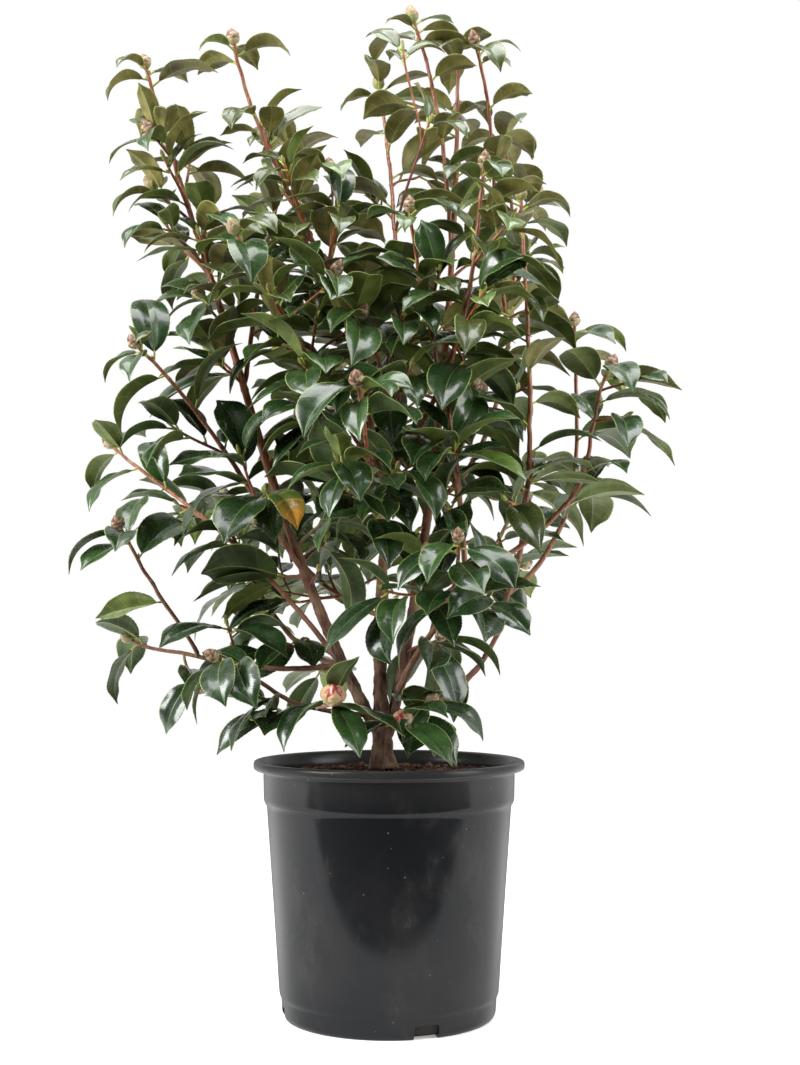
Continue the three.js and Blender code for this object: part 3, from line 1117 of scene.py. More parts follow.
def leaf_topology():
    """Faces and finishes of one leaf: its upper grid, its lower grid, then the teeth."""
    across = len(LEAF_ACROSS)
    inner = across - 2
    lower = (ROWS + 1) * across
    teeth = lower + (ROWS + 1) * inner

    def above(i, j):
        return i * across + j

    def below(i, j):
        return above(i, j) if j in (0, across - 1) else lower + i * inner + j - 1

    faces = []
    slots = []
    for i in range(ROWS):
        for j in range(across - 1):
            on_rib = j == across // 2 - 1
            if j == 0:
                tooth = (teeth + 2 * i,)
                faces.append((above(i, 1), above(i + 1, 1), above(i + 1, 0), *tooth, above(i, 0)))
                faces.append((below(i, 0), *tooth, below(i + 1, 0), below(i + 1, 1), below(i, 1)))
                slots += [EDGE, EDGE]
            elif j == across - 2:
                tooth = (teeth + 2 * i + 1,)
                k = j + 1
                faces.append((above(i, k), *tooth, above(i + 1, k), above(i + 1, j), above(i, j)))
                faces.append((below(i, j), below(i + 1, j), below(i + 1, k), *tooth, below(i, k)))
                slots += [EDGE, EDGE]
            else:
                faces.append((above(i, j), above(i, j + 1), above(i + 1, j + 1), above(i + 1, j)))
                faces.append((below(i, j), below(i + 1, j), below(i + 1, j + 1), below(i, j + 1)))
                slots += [RIB_ABOVE, RIB_BELOW] if on_rib else [UPPER, UNDER]
    for i, order in ((0, 1), (ROWS, -1)):
        loop = [below(i, j) for j in range(across)]
        loop += [above(i, j) for j in range(across - 2, 0, -1)]
        faces.append(tuple(loop[::order]))
        slots.append(EDGE)
    return faces, slots


leaf_faces, leaf_slots = leaf_topology()
along = np.repeat(np.linspace(0, VEINS, ROWS + 1), len(LEAF_ACROSS))
along_below = np.repeat(np.linspace(0, VEINS, ROWS + 1), len(LEAF_ACROSS) - 2)
along_teeth = np.repeat((np.arange(ROWS) + 0.7) * VEINS / ROWS, 2)
vein_count = np.concatenate([along, along_below, along_teeth])  # veins passed, at each point
print(f"One leaf has {len(leaf_faces)} faces and {2 * VEINS} side veins.")

# %% [markdown]
# The shape of one leaf is a handful of numbers: its length and width, how sharply it is folded,
# how far it arches, and how it twists, leans and waves. They work on the whole grid at once.

# %% Fold and bend a leaf
LEAF_THICK = 0.45 * MM
RIB = slice(4, 6)               # the two columns of the grid that edge the midrib
RIB_WIDE = 0.62 * MM            # half the width of the midrib, at its foot
RIB_PROUD = 0.75 * MM           # how far it stands out below
RIB_SUNK = 0.25 * MM            # and how far it is sunk above
VEIN_SLANT = 0.16               # how far forward a vein runs from midrib to edge
PUCKER = 0.3 * MM
TOOTH = 0.55 * MM
SLENDER = 4 * MM                # where the leaf's half is narrower, its detail fades
WAVES = 2.1                     # waves along each edge
BITE_LONG = 0.05                # of a bite in the edge, as a share of the leaf's length
SPINE = np.linspace(0, 1, 33)   # the places along the midrib where its bend is worked out


def half_width(s):
    """The leaf's outline: 1 at its widest, narrowing to a drawn-out tip."""
    full = np.sin(np.pi * np.clip(s, 0, 1) ** 0.9) ** 0.68
    drawn = np.clip((s - 0.73) / 0.23, 0, 1)
    return full * (1 - 0.58 * drawn * drawn * (3 - 2 * drawn))


def spine_of(arch, lean):
    """Points and directions along a unit midrib that arches down and leans to one side."""
    pitch = -arch * SPINE ** 1.35
    yaw = lean * SPINE
    heads = np.stack([np.sin(yaw) * np.cos(pitch), np.cos(yaw) * np.cos(pitch), np.sin(pitch)], 1)
    steps = (heads[1:] + heads[:-1]) / 2 * np.diff(SPINE)[:, None]
    places = np.vstack([np.zeros(3), np.cumsum(steps, axis=0)])
    return places, heads


def leaf_points(shape):
    """The corners of one leaf, with its foot at the origin, its length along Y and +Z above."""
    length = shape["length"]
    wide = shape["width"] / 2
    rows = np.linspace(0, 1, ROWS + 1)[:, None]
    u = np.array(LEAF_ACROSS)[None, :]
    s = np.clip(rows + VEIN_SLANT * np.abs(u) * np.sin(np.pi * rows), 0, 1)
    half = np.maximum(wide * half_width(s), 0.8 * MM * (1 - rows) + 0.2 * MM)
    for side, where, bite in shape["bites"]:
        nibble = bite * np.exp(-((s - where) / BITE_LONG) ** 2)
        half = half * np.where(u * side > 0.5, 1 - nibble, 1)
    rib = RIB_WIDE * (1 - 0.75 * rows)
    x = u * half
    x[:, 4] = -np.minimum(rib, 0.4 * half[:, 4:5])[:, 0]
    x[:, 5] = -x[:, 4]

    reach = np.abs(u)
    between = np.sin(np.pi * np.clip((reach - 0.04) / 0.93, 0, 1))
    vein = np.where(np.arange(ROWS + 1)[:, None] % 2 == 0, -0.6, 0.4)
    slender = np.clip(half / SLENDER, 0, 1)     # fades the detail out into the narrow tip
    z = PUCKER * vein * between * slender
    z = z + shape["cup"] * half * between - 0.1 * half * reach ** 3
    z = z + shape["wave"] * half * reach ** 2 * np.sin(
        2 * np.pi * WAVES * s + shape["phase"] + np.sign(u))
    z[:, RIB] -= RIB_SUNK * slender[:, RIB]
    fold = shape["fold"] * (1 - 0.3 * s)
    flat_x = x * np.cos(fold) - np.sign(u) * z * np.sin(fold)
    flat_z = np.abs(x) * np.sin(fold) + z * np.cos(fold)

    thick = LEAF_THICK * (0.4 + 0.6 * slender)
    thick[:, RIB] += RIB_PROUD * (1 - 0.7 * rows) * slender[:, RIB]
    low_z = flat_z - thick
    outer = np.array([0, -1])
    tooth_x = (0.3 * flat_x[:-1, outer] + 0.7 * flat_x[1:, outer]) + np.array([-1, 1]) * TOOTH
    tooth_z = 0.3 * flat_z[:-1, outer] + 0.7 * flat_z[1:, outer]
    tooth_s = 0.3 * s[:-1, outer] + 0.7 * s[1:, outer]
    tooth_x = tooth_x - np.array([-1, 1]) * TOOTH * (1 - slender[:-1, outer])

    all_x = np.concatenate([flat_x.ravel(), flat_x[:, 1:-1].ravel(), tooth_x.ravel()])
    all_z = np.concatenate([flat_z.ravel(), low_z[:, 1:-1].ravel(), tooth_z.ravel()])
    all_s = np.concatenate([s.ravel(), s[:, 1:-1].ravel(), tooth_s.ravel()])

    places, heads = spine_of(shape["arch"], shape["lean"])
    middle = np.stack([np.interp(all_s, SPINE, places[:, i]) for i in range(3)], 1) * length
    head = np.stack([np.interp(all_s, SPINE, heads[:, i]) for i in range(3)], 1)
    yaw = shape["lean"] * all_s
    side = np.stack([np.cos(yaw), -np.sin(yaw), np.zeros_like(yaw)], 1)
    top = np.cross(side, head)
    turn = (shape["twist"] * all_s)[:, None]
    side, top = side * np.cos(turn) + top * np.sin(turn), top * np.cos(turn) - side * np.sin(turn)
    return middle + side * all_x[:, None] + top * all_z[:, None]


print("A leaf can be folded and bent.")

# %% [markdown]
# ## Leaves on the shoots
# Leaves that grew by a rule alone would pass through stems, hide them, or hang into the pot. So
# the places that leaves must keep off are noted first: all wood, the room in front of the buds
# about to open, and a strip in front of the tall stems, which show between their leaves up there.

# %% Note the places that leaves keep off
KEEP_OFF_WOOD = 7 * MM
AHEAD_OF_TIP = (5, 10, 15)      # millimetres kept free beyond each shoot's tip
STEMS_SHOW = 0.55               # above this height leaves keep from in front of the long stems
BEFORE_STEM = (15, 28, 42)      # millimetres kept free there
BEFORE_BUD = (10, 20, 30, 40)   # and in front of the buds about to open
FORWARD = Vector((0, -1, 0))
UP_FORWARD = Vector((0, -1, 0.4))

wood_places = Crowd(KEEP_OFF_WOOD * 2)


def keep_free(place, way, reaches):
    """Notes a few places, so many millimetres away from this one."""
    for reach in reaches:
        wood_places.add(place + reach * MM * way)


for limb in [*limbs.values(), *side_shoots, *spurs]:
    for point in limb.points:
        wood_places.add(point)
    keep_free(limb.points[-1], limb.heading(len(limb.points) - 1), AHEAD_OF_TIP)
for limb in limbs.values():
    for point in limb.points:
        if point.z > STEMS_SHOW:
            keep_free(point, FORWARD, BEFORE_STEM)
for tip in OPENING_BUDS:
    keep_free(Vector(tip), UP_FORWARD, BEFORE_BUD)
print(f"Leaves keep off {sum(map(len, wood_places.boxes.values()))} places.")

# %% [markdown]
# Each leaf is offered a number of slightly different poses, and every pose is scored for how
# badly it suits its surroundings. Four places down the middle of the blade are enough to tell
# whether it stays in the mass of foliage, inside the plant's size and off the pot, and how close
# it comes to other leaves and to wood.

# %% Score the places of a pose
KEEP_APART = 18 * MM
STAND_PROUD = 8 * MM            # how far a leaf may reach out of its mass
BOX_ROOM = 9 * MM               # and how far out of the whole plant's packed box
POT_CLEARANCE = 0.25            # leaves hang no lower than just above the pot's lip
OUT_OF_MASS = 3                 # how awkward each millimetre is: outside the mass,
TOO_LOW = 8                     # under that height,
OUT_OF_BOX = 60                 # out of the box,
TOO_CLOSE = 2                   # near another leaf,
ON_WOOD = 5                     # and near wood
BLADE_SHARES = (0.3, 0.55, 0.8, 1.0)            # the places looked at, along the blade

leaf_places = Crowd(KEEP_APART)
box_low = Vector(cad_low) - Vector((BOX_ROOM,) * 3)
box_high = Vector(cad_high) + Vector((BOX_ROOM,) * 3)


def outside_box(place):
    """How far a place is out of the box that the plant may fill."""
    return max(max(box_low[i] - place[i], place[i] - box_high[i], 0) for i in range(3))


def blade_places(foot, along, face, length, arch):
    """Four places down the middle of an arched blade."""
    places = []
    for share in BLADE_SHARES:
        bend = arch * 0.55 * share
        places.append(foot + length * share * (math.cos(bend) * along - math.sin(bend) * face))
    return places


def awkwardness(places, roams):
    """How badly a pose suits its surroundings: 0 is ideal. A leaf that roams may leave the masses."""
    total = 0.0
    for place in places:
        if not roams:
            total += OUT_OF_MASS * max(-crown_depth(place) - STAND_PROUD, 0) / MM
        total += TOO_LOW * max(POT_CLEARANCE - place.z, 0) / MM
        total += OUT_OF_BOX * outside_box(place) / MM
        total += TOO_CLOSE * (KEEP_APART - leaf_places.nearest(place)) / MM
    for place in places[1:]:
        total += ON_WOOD * max(KEEP_OFF_WOOD - wood_places.nearest(place), 0) / MM
    return total


print(f"A pose is judged at {len(BLADE_SHARES)} places down the middle of the blade.")

# %% [markdown]
# Places alone miss two blades that cut through each other. So a coarse copy of the blade, folded
# and arched like it, is tried against those of its neighbours and against all the wood. The full
# leaves could be tried in the same way, but that would take many minutes.

# %% Try whether blades would cross
CARD_OUTLINE = ((0.04, 0.2), (0.22, 0.85), (0.45, 1.0), (0.7, 0.75), (0.85, 0.35), (1.0, 0.03))
CARD_HALF = 0.26                # half the coarse copy's width, as a share of its length
CARD_FOLD = (0.93, 0.37)        # how far its edges stand out and up: the fold of a leaf
CARD_REACH = 90 * MM            # blades with their middles further apart hardly ever cross

cards = []                      # the middle and the coarse copy of each leaf placed so far


def blade_card(pose):
    """A coarse copy of an arched, folded blade, for trying whether two leaves would cross."""
    side = pose["blade"].cross(pose["face"]).normalized()
    half = CARD_HALF * pose["length"]
    points = []
    for share, wide in CARD_OUTLINE:
        bend = pose["arch"] * 0.5 * share
        middle = math.cos(bend) * pose["blade"] - math.sin(bend) * pose["face"]
        up = math.sin(bend) * pose["blade"] + math.cos(bend) * pose["face"]
        for u in (-1, 0, 1):
            edge = wide * half * (CARD_FOLD[0] * u * side + CARD_FOLD[1] * abs(u) * up)
            points.append(pose["foot"] + pose["length"] * share * middle + edge)
    faces = [(3 * i + j, 3 * i + j + 1, 3 * i + j + 4, 3 * i + j + 3)
             for i in range(len(CARD_OUTLINE) - 1) for j in range(2)]
    return BVHTree.FromPolygons(points, faces)


def tree_over(pieces):
    """One search tree over the faces of several pieces."""
    points = []
    faces = []
    for piece in pieces:
        first = len(points)
        points += [corner.co for corner in piece.data.vertices]
        faces += [tuple(first + k for k in face.vertices) for face in piece.data.polygons]
    return BVHTree.FromPolygons(points, faces)


wood_tree = tree_over([piece for piece in scene.objects
                       if piece.name.endswith("_wood") or piece.name == "side_shoots"])


def crossings(card, middle):
    """How many of the leaves placed so far this one would cross, and one more if it meets wood."""
    leaves_met = sum(1 for other_middle, other in cards
                     if (other_middle - middle).length < CARD_REACH and card.overlap(other))
    return leaves_met + bool(card.overlap(wood_tree))


print(f"The coarse copy of a blade has {2 * len(CARD_OUTLINE) - 2} faces.")

# %% [markdown]
# A leaf's stalk leaves the shoot at an angle, and its blade runs on outwards. Every leaf turns its
# face to the light as well as its stalk allows, and the blades hang low down on the plant and
# stand up near the top. All of this varies a little by chance, which is what makes the poses to
# choose from.

# %% Choose a pose for each leaf
POSES = 40
CROSSING = 60                   # how awkward it is to cross another leaf
LEAF_LENGTH = (60 * MM, 90 * MM)
BLADE_RISE = ((0.26, 0.05), (0.32, -0.35), (0.42, -0.14), (0.55, 0), (0.9, 0.2))    # by height
RISE_CHANCE = 0.16              # spread, by chance, of how far a blade lifts or hangs
FACE_CHANCE = 0.25              # of the way it faces
TURN_CHANCE = 0.5               # of its bearing round the shoot, in radians
STALK_ANGLE = (42, 68)          # degrees between shoot and stalk
STALK_LENGTH = (7, 11)          # in millimetres
ARCH = (25, 85)                 # degrees from the foot of the blade to its tip
ARCH_MORE = 60                  # and so many more for each plant's height above 0.6 of it


def pose_leaf(node, heading, around, size, rng):
    """One possible pose: where the stalk ends, which way the blade runs and which way it faces."""
    height = node.z / plant_height
    across, along = sideways(heading)
    radial = math.cos(around) * across + math.sin(around) * along
    opening = math.radians(rng.uniform(*STALK_ANGLE))
    stalk = (math.sin(opening) * radial + math.cos(opening) * heading).normalized()
    outward = Vector((node.x, node.y, 0)).normalized()
    blade = stalk + 0.25 * outward
    blade.z = 0.6 * blade.z + read_off(BLADE_RISE, height) + rng.gauss(0, RISE_CHANCE)
    blade.normalize()
    face = UP + 0.3 * heading + Vector([rng.gauss(0, FACE_CHANCE) for _ in range(3)])
    face = (face - face.dot(blade) * blade).normalized()
    stalk_length = rng.uniform(*STALK_LENGTH) * MM
    foot = node + 0.6 * stalk_length * stalk + 0.4 * stalk_length * blade
    return {"node": node, "heading": heading, "stalk": stalk, "foot": foot, "blade": blade,
            "face": face,
            "length": size * rng.uniform(*LEAF_LENGTH),
            "arch": math.radians(rng.uniform(*ARCH) + ARCH_MORE * max(height - 0.6, 0))}


def best_leaf(node, heading, around, size, roams, rng):
    """The least awkward of a few poses, with its score."""
    best = None
    for _ in range(POSES):
        pose = pose_leaf(node, heading, around + rng.gauss(0, TURN_CHANCE), size, rng)
        places = blade_places(pose["foot"], pose["blade"], pose["face"], pose["length"],
                              pose["arch"])
        score = awkwardness(places, roams)
        if best is None or score < best[0]:
            card = blade_card(pose)
            score += CROSSING * crossings(card, places[1])
            if best is None or score < best[0]:
                best = (score, pose, places, card)
    return best


print(f"Each leaf takes the best of {POSES} poses.")

# %% [markdown]
# Leaves sit one at a time round the shoot, each a little under half a turn on from the last, and
# crowd together under the end bud. In the open they stand further apart, and near the top some
# shoots are bare for a little way under their tuft. Pairs of opposite leaves would look tidy, but
# would belong to another kind of shrub. A leaf that can find no good pose is left out, as if it
# had been shaded and had dropped.

# %% Clothe the shoots
SPIRAL = math.radians(144)
TIP_NODES = (4 * MM, 8 * MM, 13 * MM, 20 * MM)          # the leaves that crowd under the bud
TOPMOST_SIZE = 0.88
NODE_GAPS = (17 * MM, 28 * MM)
OPEN_NODES = 0.9                # leaves are further apart by this share on shoots in the open
BARE_BELOW_TIP = ((0.7, 0), (0.86, 50 * MM))            # by the tip's height, at most so much
LEAF_SIZES = ((0.3, 1.1), (0.55, 1.0), (0.85, 0.8))     # height on the plant, and relative size
TOO_AWKWARD = 75                # a leaf whose best pose is worse than this is left out
INNER_MIDDLE = 0.5              # height that parts the two pieces of inner foliage


def leaf_nodes(limb, rng):
    """Where a shoot bears leaves, from its bud down: place, heading, and distance from the bud."""
    wanted = list(TIP_NODES)
    total = sum((b - a).length for a, b in zip(limb.points[limb.leafy_from:],
                                               limb.points[limb.leafy_from + 1:]))
    wider = 1 + OPEN_NODES * openness(limb.points[-1])
    bare = rng.random() * read_off(BARE_BELOW_TIP, limb.points[-1].z)
    wanted.append(wanted[-1] + NODE_GAPS[0] + bare)
    while wanted[-1] < total:
        wanted.append(wanted[-1] + wider * rng.uniform(*NODE_GAPS))
    found = []
    distance = 0.0
    for i in range(len(limb.points) - 1, limb.leafy_from, -1):
        step = (limb.points[i] - limb.points[i - 1]).length
        while wanted and wanted[0] <= distance + step:
            share = (wanted[0] - distance) / step
            place = limb.points[i].lerp(limb.points[i - 1], share)
            found.append((place, limb.heading(i), wanted.pop(0)))
        distance += step
    return found


def clothe(limb, rng):
    """The leaves of one shoot, as poses."""
    around = rng.uniform(0, 2 * math.pi)
    leaves = []
    for place, heading, from_bud in leaf_nodes(limb, rng):
        around += SPIRAL
        topmost = from_bud < TIP_NODES[-1]
        size = read_off(LEAF_SIZES, place.z / plant_height)
        size *= TOPMOST_SIZE if topmost else 1
        score, pose, places, card = best_leaf(place, heading, around, size, limb in spurs, rng)
        if score > TOO_AWKWARD and not topmost:
            continue
        for spot in places:
            leaf_places.add(spot)
        cards.append((places[1], card))
        leaves.append(pose)
    return leaves


dice = random.Random(23)
leaves_of = {name: [] for name in [*masses, "inner_low", "inner_high"]}
for limb in [limbs[name] for name in masses] + side_shoots:
    owner = limb.mass.node.removesuffix("_leaves")
    leaves_of[owner].append(clothe(limb, dice))
for spur in spurs:
    if spur in bare_twigs:
        continue
    owner = "inner_low" if spur.points[-1].z < INNER_MIDDLE else "inner_high"
    leaves_of[owner].append(clothe(spur, dice))
counts = {name: sum(map(len, sprays)) for name, sprays in leaves_of.items()}
print(f"{sum(counts.values())} leaves found a place:", counts)

# %% [markdown]
# ## The leaves' colours
# The upper side of the blade is deep green and glossy, and the lower side is dull olive. New
# leaves at the top of the plant are browner, those low down are bluer and darker, and a few are
# fresh. The same pale tint is painted light on a few chosen leaves. A pattern painted over the whole
# plant would cut across leaves, so each tint is a plain colour that belongs to whole leaves, and only
# the fine mottling in it is a pattern.

# %% Choose the leaves' colours
UPPER_TINTS = {
    "deep": colour(30, 52, 24),
    "green": colour(42, 66, 30),
    "olive": colour(62, 72, 34),
    "fresh": colour(76, 98, 42),
    "turning": colour(172, 116, 40),
}
UNDER_TINTS = {
    "deep": colour(70, 88, 44),
    "green": colour(98, 112, 50),
    "olive": colour(124, 118, 62),
    "fresh": colour(134, 152, 78),
    "turning": colour(176, 130, 56),
}
TINTS = list(UPPER_TINTS)
print(f"Upper and lower sides come in {len(TINTS)} tints.")

# %% [markdown]
# Every point of a leaf knows how many side veins lie between it and the foot. Wherever that count
# is a whole number a fine pale line is drawn, so the veins fit each leaf however it is bent. The
# same count keeps a turning leaf green at its foot, where the colour goes last.

# %% Finish the leaves
STILL_GREEN = colour(66, 88, 38)
TURNS = (0.35 * VEINS, 0.8 * VEINS)             # a turning leaf is green below, and turned above
VEIN_LINE = 0.16                # half the width of a vein's line, in spaces between veins


def along_leaf(made):
    """How far along its leaf a point is, counted in side veins."""
    return add_node(made.tree, "ShaderNodeAttribute", attribute_name="veins").outputs["Fac"]


def leaf_paint(made, name, tint, dark, light):
    """Cloudy colour between two shades of a tint. A turning leaf is still green at its foot."""
    cloud = made.spread(made.noise(50, 3), 0.35, 0.65)
    paint = made.tint(shade(tint, dark), shade(tint, light), cloud)
    if name == "turning":
        paint = made.tint(STILL_GREEN, paint, made.spread(along_leaf(made), *TURNS))
    return paint


def veined(made, paint, lighter, share):
    """Fine side veins over a leaf's colour: a line wherever the count of veins is whole."""
    count = along_leaf(made)
    saw = add_node(made.tree, "ShaderNodeMath", {1: 1.0}, operation="PINGPONG")
    made.link(count, saw.inputs[0])
    line = made.spread(saw.outputs[0], 0.0, VEIN_LINE, share, 0)
    made.emboss(line, 0.3 * MM, 0.35)
    return made.tint(paint, lighter, line)


def finish_upper(name, tint):
    """Glossy cuticle over mottled green, a little sunk along the veins."""
    made = Finish("leaf_upper_" + name, tint, 0.28, Specular_IOR_Level=0.5,
                  Coat_Weight=0.35, Coat_Roughness=0.12)
    paint = leaf_paint(made, name, tint, 0.72, 1.28)
    made.paint(veined(made, paint, shade(tint, 1.9), 0.5))
    made.gloss(made.spread(made.noise(160, 2), 0.3, 0.7, 0.2, 0.36))
    made.emboss(made.noise(240, 2), 0.5 * MM, 0.2)
    return made.material


def finish_under(name, tint):
    """Dull underside, whose veins stand out pale."""
    made = Finish("leaf_under_" + name, tint, 0.5, Specular_IOR_Level=0.4)
    paint = leaf_paint(made, name, tint, 0.64, 1.3)
    made.paint(veined(made, paint, shade(tint, 1.5), 0.6))
    made.emboss(made.noise(260, 2), 0.4 * MM, 0.2)
    return made.material


def finish_plain(name, tint, roughness, grain):
    """A small part's finish: its colour, slightly mottled, and a fine grain."""
    made = Finish(name, tint, roughness)
    speck = made.noise(grain, 3)
    made.paint(made.tint(shade(tint, 0.8), tint, made.spread(speck, 0.35, 0.6)))
    made.emboss(speck, 0.2 * MM, 0.3)
    return made.material


leaf_finishes = []
for tint in TINTS:
    leaf_finishes.append(finish_upper(tint, UPPER_TINTS[tint]))
    leaf_finishes.append(finish_under(tint, UNDER_TINTS[tint]))
for name, tint, roughness in (("midrib_above", colour(88, 114, 58), 0.4),
                              ("midrib_below", colour(150, 156, 84), 0.5),
                              ("leaf_edge", colour(132, 148, 82), 0.5),
                              ("leaf_stalk", colour(166, 174, 70), 0.42)):
    leaf_finishes.append(finish_plain(name, tint, roughness, 300))
print(f"The leaves use {len(leaf_finishes)} finishes.")

# %% [markdown]
# A few leaves are worth choosing one by one. One low leaf is turning yellow before it falls, one
# at the right is torn, one has lost its tip, and several are given the pale fresh tint as painted
# light, where the light catches them. Each is simply the leaf that happens to hang nearest to a given
# place.

# %% Choose the leaves' tints and bites
NIBBLED = 0.04                  # the share of leaves with a bite out of the edge
FRESH = 0.02                    # the share that are fresh
OLIVE_FROM = 0.72               # leaves are olive above this share of the height,
GREEN_FROM = 0.5                # green above this one, and deep green below it
TINT_CHANCE = 0.09              # spread, by chance, of where the tints change
CHOSEN_LEAVES = [
    ("turning", (-0.095, -0.13, 0.44)),
    # these leaves get the pale tint as painted light, where light catches them
    ("fresh", (0.24, -0.02, 0.68)),
    ("fresh", (-0.25, -0.05, 0.39)),
    ("fresh", (0.10, -0.16, 0.74)),
    ("fresh", (0.07, -0.17, 0.66)),
    ("fresh", (0.01, -0.17, 0.73)),
]
TORN_LEAF = (0.25, -0.05, 0.62)
CLIPPED_LEAF = (0.24, -0.02, 0.69)


def nearest_leaf(place):
    """The leaf whose blade begins nearest to a place."""
    return min(every_leaf, key=lambda pose: (pose["foot"] - Vector(place)).length)


def tint_for(height, rng):
    """A leaf's tint, by how high it grows: browner at the top and deeper low down."""
    share = height / plant_height + rng.gauss(0, TINT_CHANCE)
    if rng.random() < FRESH:
        return "fresh"
    if share > OLIVE_FROM:
        return "olive"
    return "green" if share > GREEN_FROM else "deep"


dice = random.Random(31)
every_leaf = [pose for sprays in leaves_of.values() for spray in sprays for pose in spray]
for pose in every_leaf:
    pose["tint"] = tint_for(pose["node"].z, dice)
    if dice.random() < NIBBLED:
        pose["bites"] = [(dice.choice((-1, 1)), dice.uniform(0.3, 0.85), dice.uniform(0.25, 0.5))]
for tint, place in CHOSEN_LEAVES:
    nearest_leaf(place)["tint"] = tint
# A bite is a side of the leaf, how far along it lies, and how deep it goes.
nearest_leaf(TORN_LEAF)["bites"] = [(1, 0.78, 0.35), (1, 0.9, 0.75), (-1, 0.97, 0.8)]
nearest_leaf(CLIPPED_LEAF)["bites"] = [(1, 0.97, 0.9), (-1, 0.97, 0.9)]
print({tint: sum(pose["tint"] == tint for pose in every_leaf) for tint in TINTS})

# %% [markdown]
# Now each leaf is shaped by numbers of its own, turned into its pose and given its stalk. One
# leaf shared by all as an instance would save memory, but the plant would look stamped out. All
# the leaves of one mass become one mesh, which takes the place of that mass's solid.

# %% Make the leaves
STALK_SIDES = 5
STALK_THICK = (1.3 * MM, 0.95 * MM)
LEAF_SLIMNESS = (0.4, 0.56)     # width over length
FOLD = (8, 36)                  # degrees by which each half of a leaf is folded up
LEAN_CHANCE = 0.16              # spread, by chance, of its bend to one side, in radians,
TWIST_CHANCE = 0.35             # and of its twist
WAVE = (0.0, 0.09)              # height of the waves along its edge, as a share of half its width,
CUP = (0.0, 0.12)               # and how far its halves bulge


def leaf_slot(kind, tint):
    """The number of the finish for one kind of face on a leaf of this tint."""
    if kind in (UPPER, UNDER):
        return 2 * TINTS.index(tint) + kind
    return 2 * len(TINTS) + kind - RIB_ABOVE


def shape_for(pose, rng):
    """The numbers that make one leaf unlike the next."""
    length = pose["length"]
    return {"length": length, "width": length * rng.uniform(*LEAF_SLIMNESS), "arch": pose["arch"],
            "fold": math.radians(rng.uniform(*FOLD)), "lean": rng.gauss(0, LEAN_CHANCE),
            "twist": rng.gauss(0, TWIST_CHANCE), "wave": rng.uniform(*WAVE),
            "cup": rng.uniform(*CUP), "phase": rng.uniform(0, 6.3),
            "bites": pose.get("bites", [])}


def stalk_line(pose):
    """The leaf's stalk, from inside the shoot to just inside the foot of the blade."""
    start = pose["node"] - 0.5 * MM * pose["stalk"]
    return curve(start, pose["stalk"], pose["foot"] + MM * pose["blade"], pose["blade"], 2 * MM)


def leaves_piece(owner, sprays, rng):
    """All the leaves of one mass as one mesh, with the count of veins stored at every point."""
    heap = Heap()
    veins = []
    for pose in [pose for spray in sprays for pose in spray]:
        tint = pose["tint"]
        blade, face = pose["blade"], pose["face"]
        basis = np.array([blade.cross(face), blade, face])
        places = leaf_points(shape_for(pose, rng)) @ basis + np.array(pose["foot"])
        heap.add(list(places), leaf_faces, [leaf_slot(kind, tint) for kind in leaf_slots])
        line = stalk_line(pose)
        radii = np.linspace(*STALK_THICK, len(line)).tolist()
        made = tube_faces(len(line), STALK_SIDES)
        heap.add(tube(line, radii, STALK_SIDES), made, [leaf_slot(STALK, tint)] * len(made))
        veins += [vein_count, np.full(len(line) * STALK_SIDES, 0.5)]
    piece = join_piece(owner + "_foliage", heap.points, heap.faces, leaf_finishes, heap.slots)
    count = piece.data.attributes.new("veins", "FLOAT", "POINT")
    count.data.foreach_set("value", np.concatenate(veins))
    return settle(piece, "foliage", *([owner + "_leaves"] if owner in masses else []))


for owner, sprays in leaves_of.items():
    piece = leaves_piece(owner, sprays, dice)
    print(f"{piece.name}: {len(piece.data.polygons)} faces")

# %% [markdown]
# ## Buds
# Each shoot ends in a bud. A flower bud is a plump egg of overlapping scales, cream green with
# brown tips, and a leaf bud is slim and yellow green. The egg alone would look like an olive, so
# scales are laid over it like tiles: each is a small patch that bulges in its middle and tucks its
# edge into the egg, so that it needs no thickness of its own.

# %% Make one bud
BUD_SIDES = 8
BUD_RINGS = 6
SCALE_ACROSS = 6
SCALE_ALONG = 4
SCALE_LONG = 0.62               # as a share of the bud's length


def bud_radius(t):
    """The outline of a bud from its foot at 0 to its tip at 1."""
    return math.sin(math.pi * min(0.06 + 0.94 * t, 1) ** 0.85) ** 0.75


def bud_place(t, angle, length, width, proud):
    """A place on the egg, or standing proud of it."""
    radius = width / 2 * bud_radius(t) + proud
    return Vector((radius * math.cos(angle), radius * math.sin(angle), length * t))


def egg(length, width, sides=BUD_SIDES, rings=BUD_RINGS):
    """The bud's body as rings from foot to tip."""
    points = [bud_place(i / rings, 2 * math.pi * j / sides, length, width, 0)
              for i in range(rings + 1) for j in range(sides)]
    return points, tube_faces(rings + 1, sides)


def bud_scale(length, width, foot, top, angle, spread):
    """One scale: a pointed patch from foot to top of the egg, with its edge tucked in."""
    points = []
    for i in range(SCALE_ALONG + 1):
        s = i / SCALE_ALONG
        reach = spread * (1 - s ** 2.4)
        for j in range(SCALE_ACROSS + 1):
            u = 2 * j / SCALE_ACROSS - 1
            edge = abs(u) == 1 or i in (0, SCALE_ALONG)
            t = foot + (top - foot) * s * (1 - 0.12 * u * u)
            proud = -0.03 * width if edge else width * (0.05 + 0.035 * s)
            points.append(bud_place(t, angle + u * reach, length, width, proud))
    faces = []
    for i in range(SCALE_ALONG):
        for j in range(SCALE_ACROSS):
            low = i * (SCALE_ACROSS + 1) + j
            high = low + SCALE_ACROSS + 1
            faces.append((low, low + 1, high + 1, high))
    return points, faces


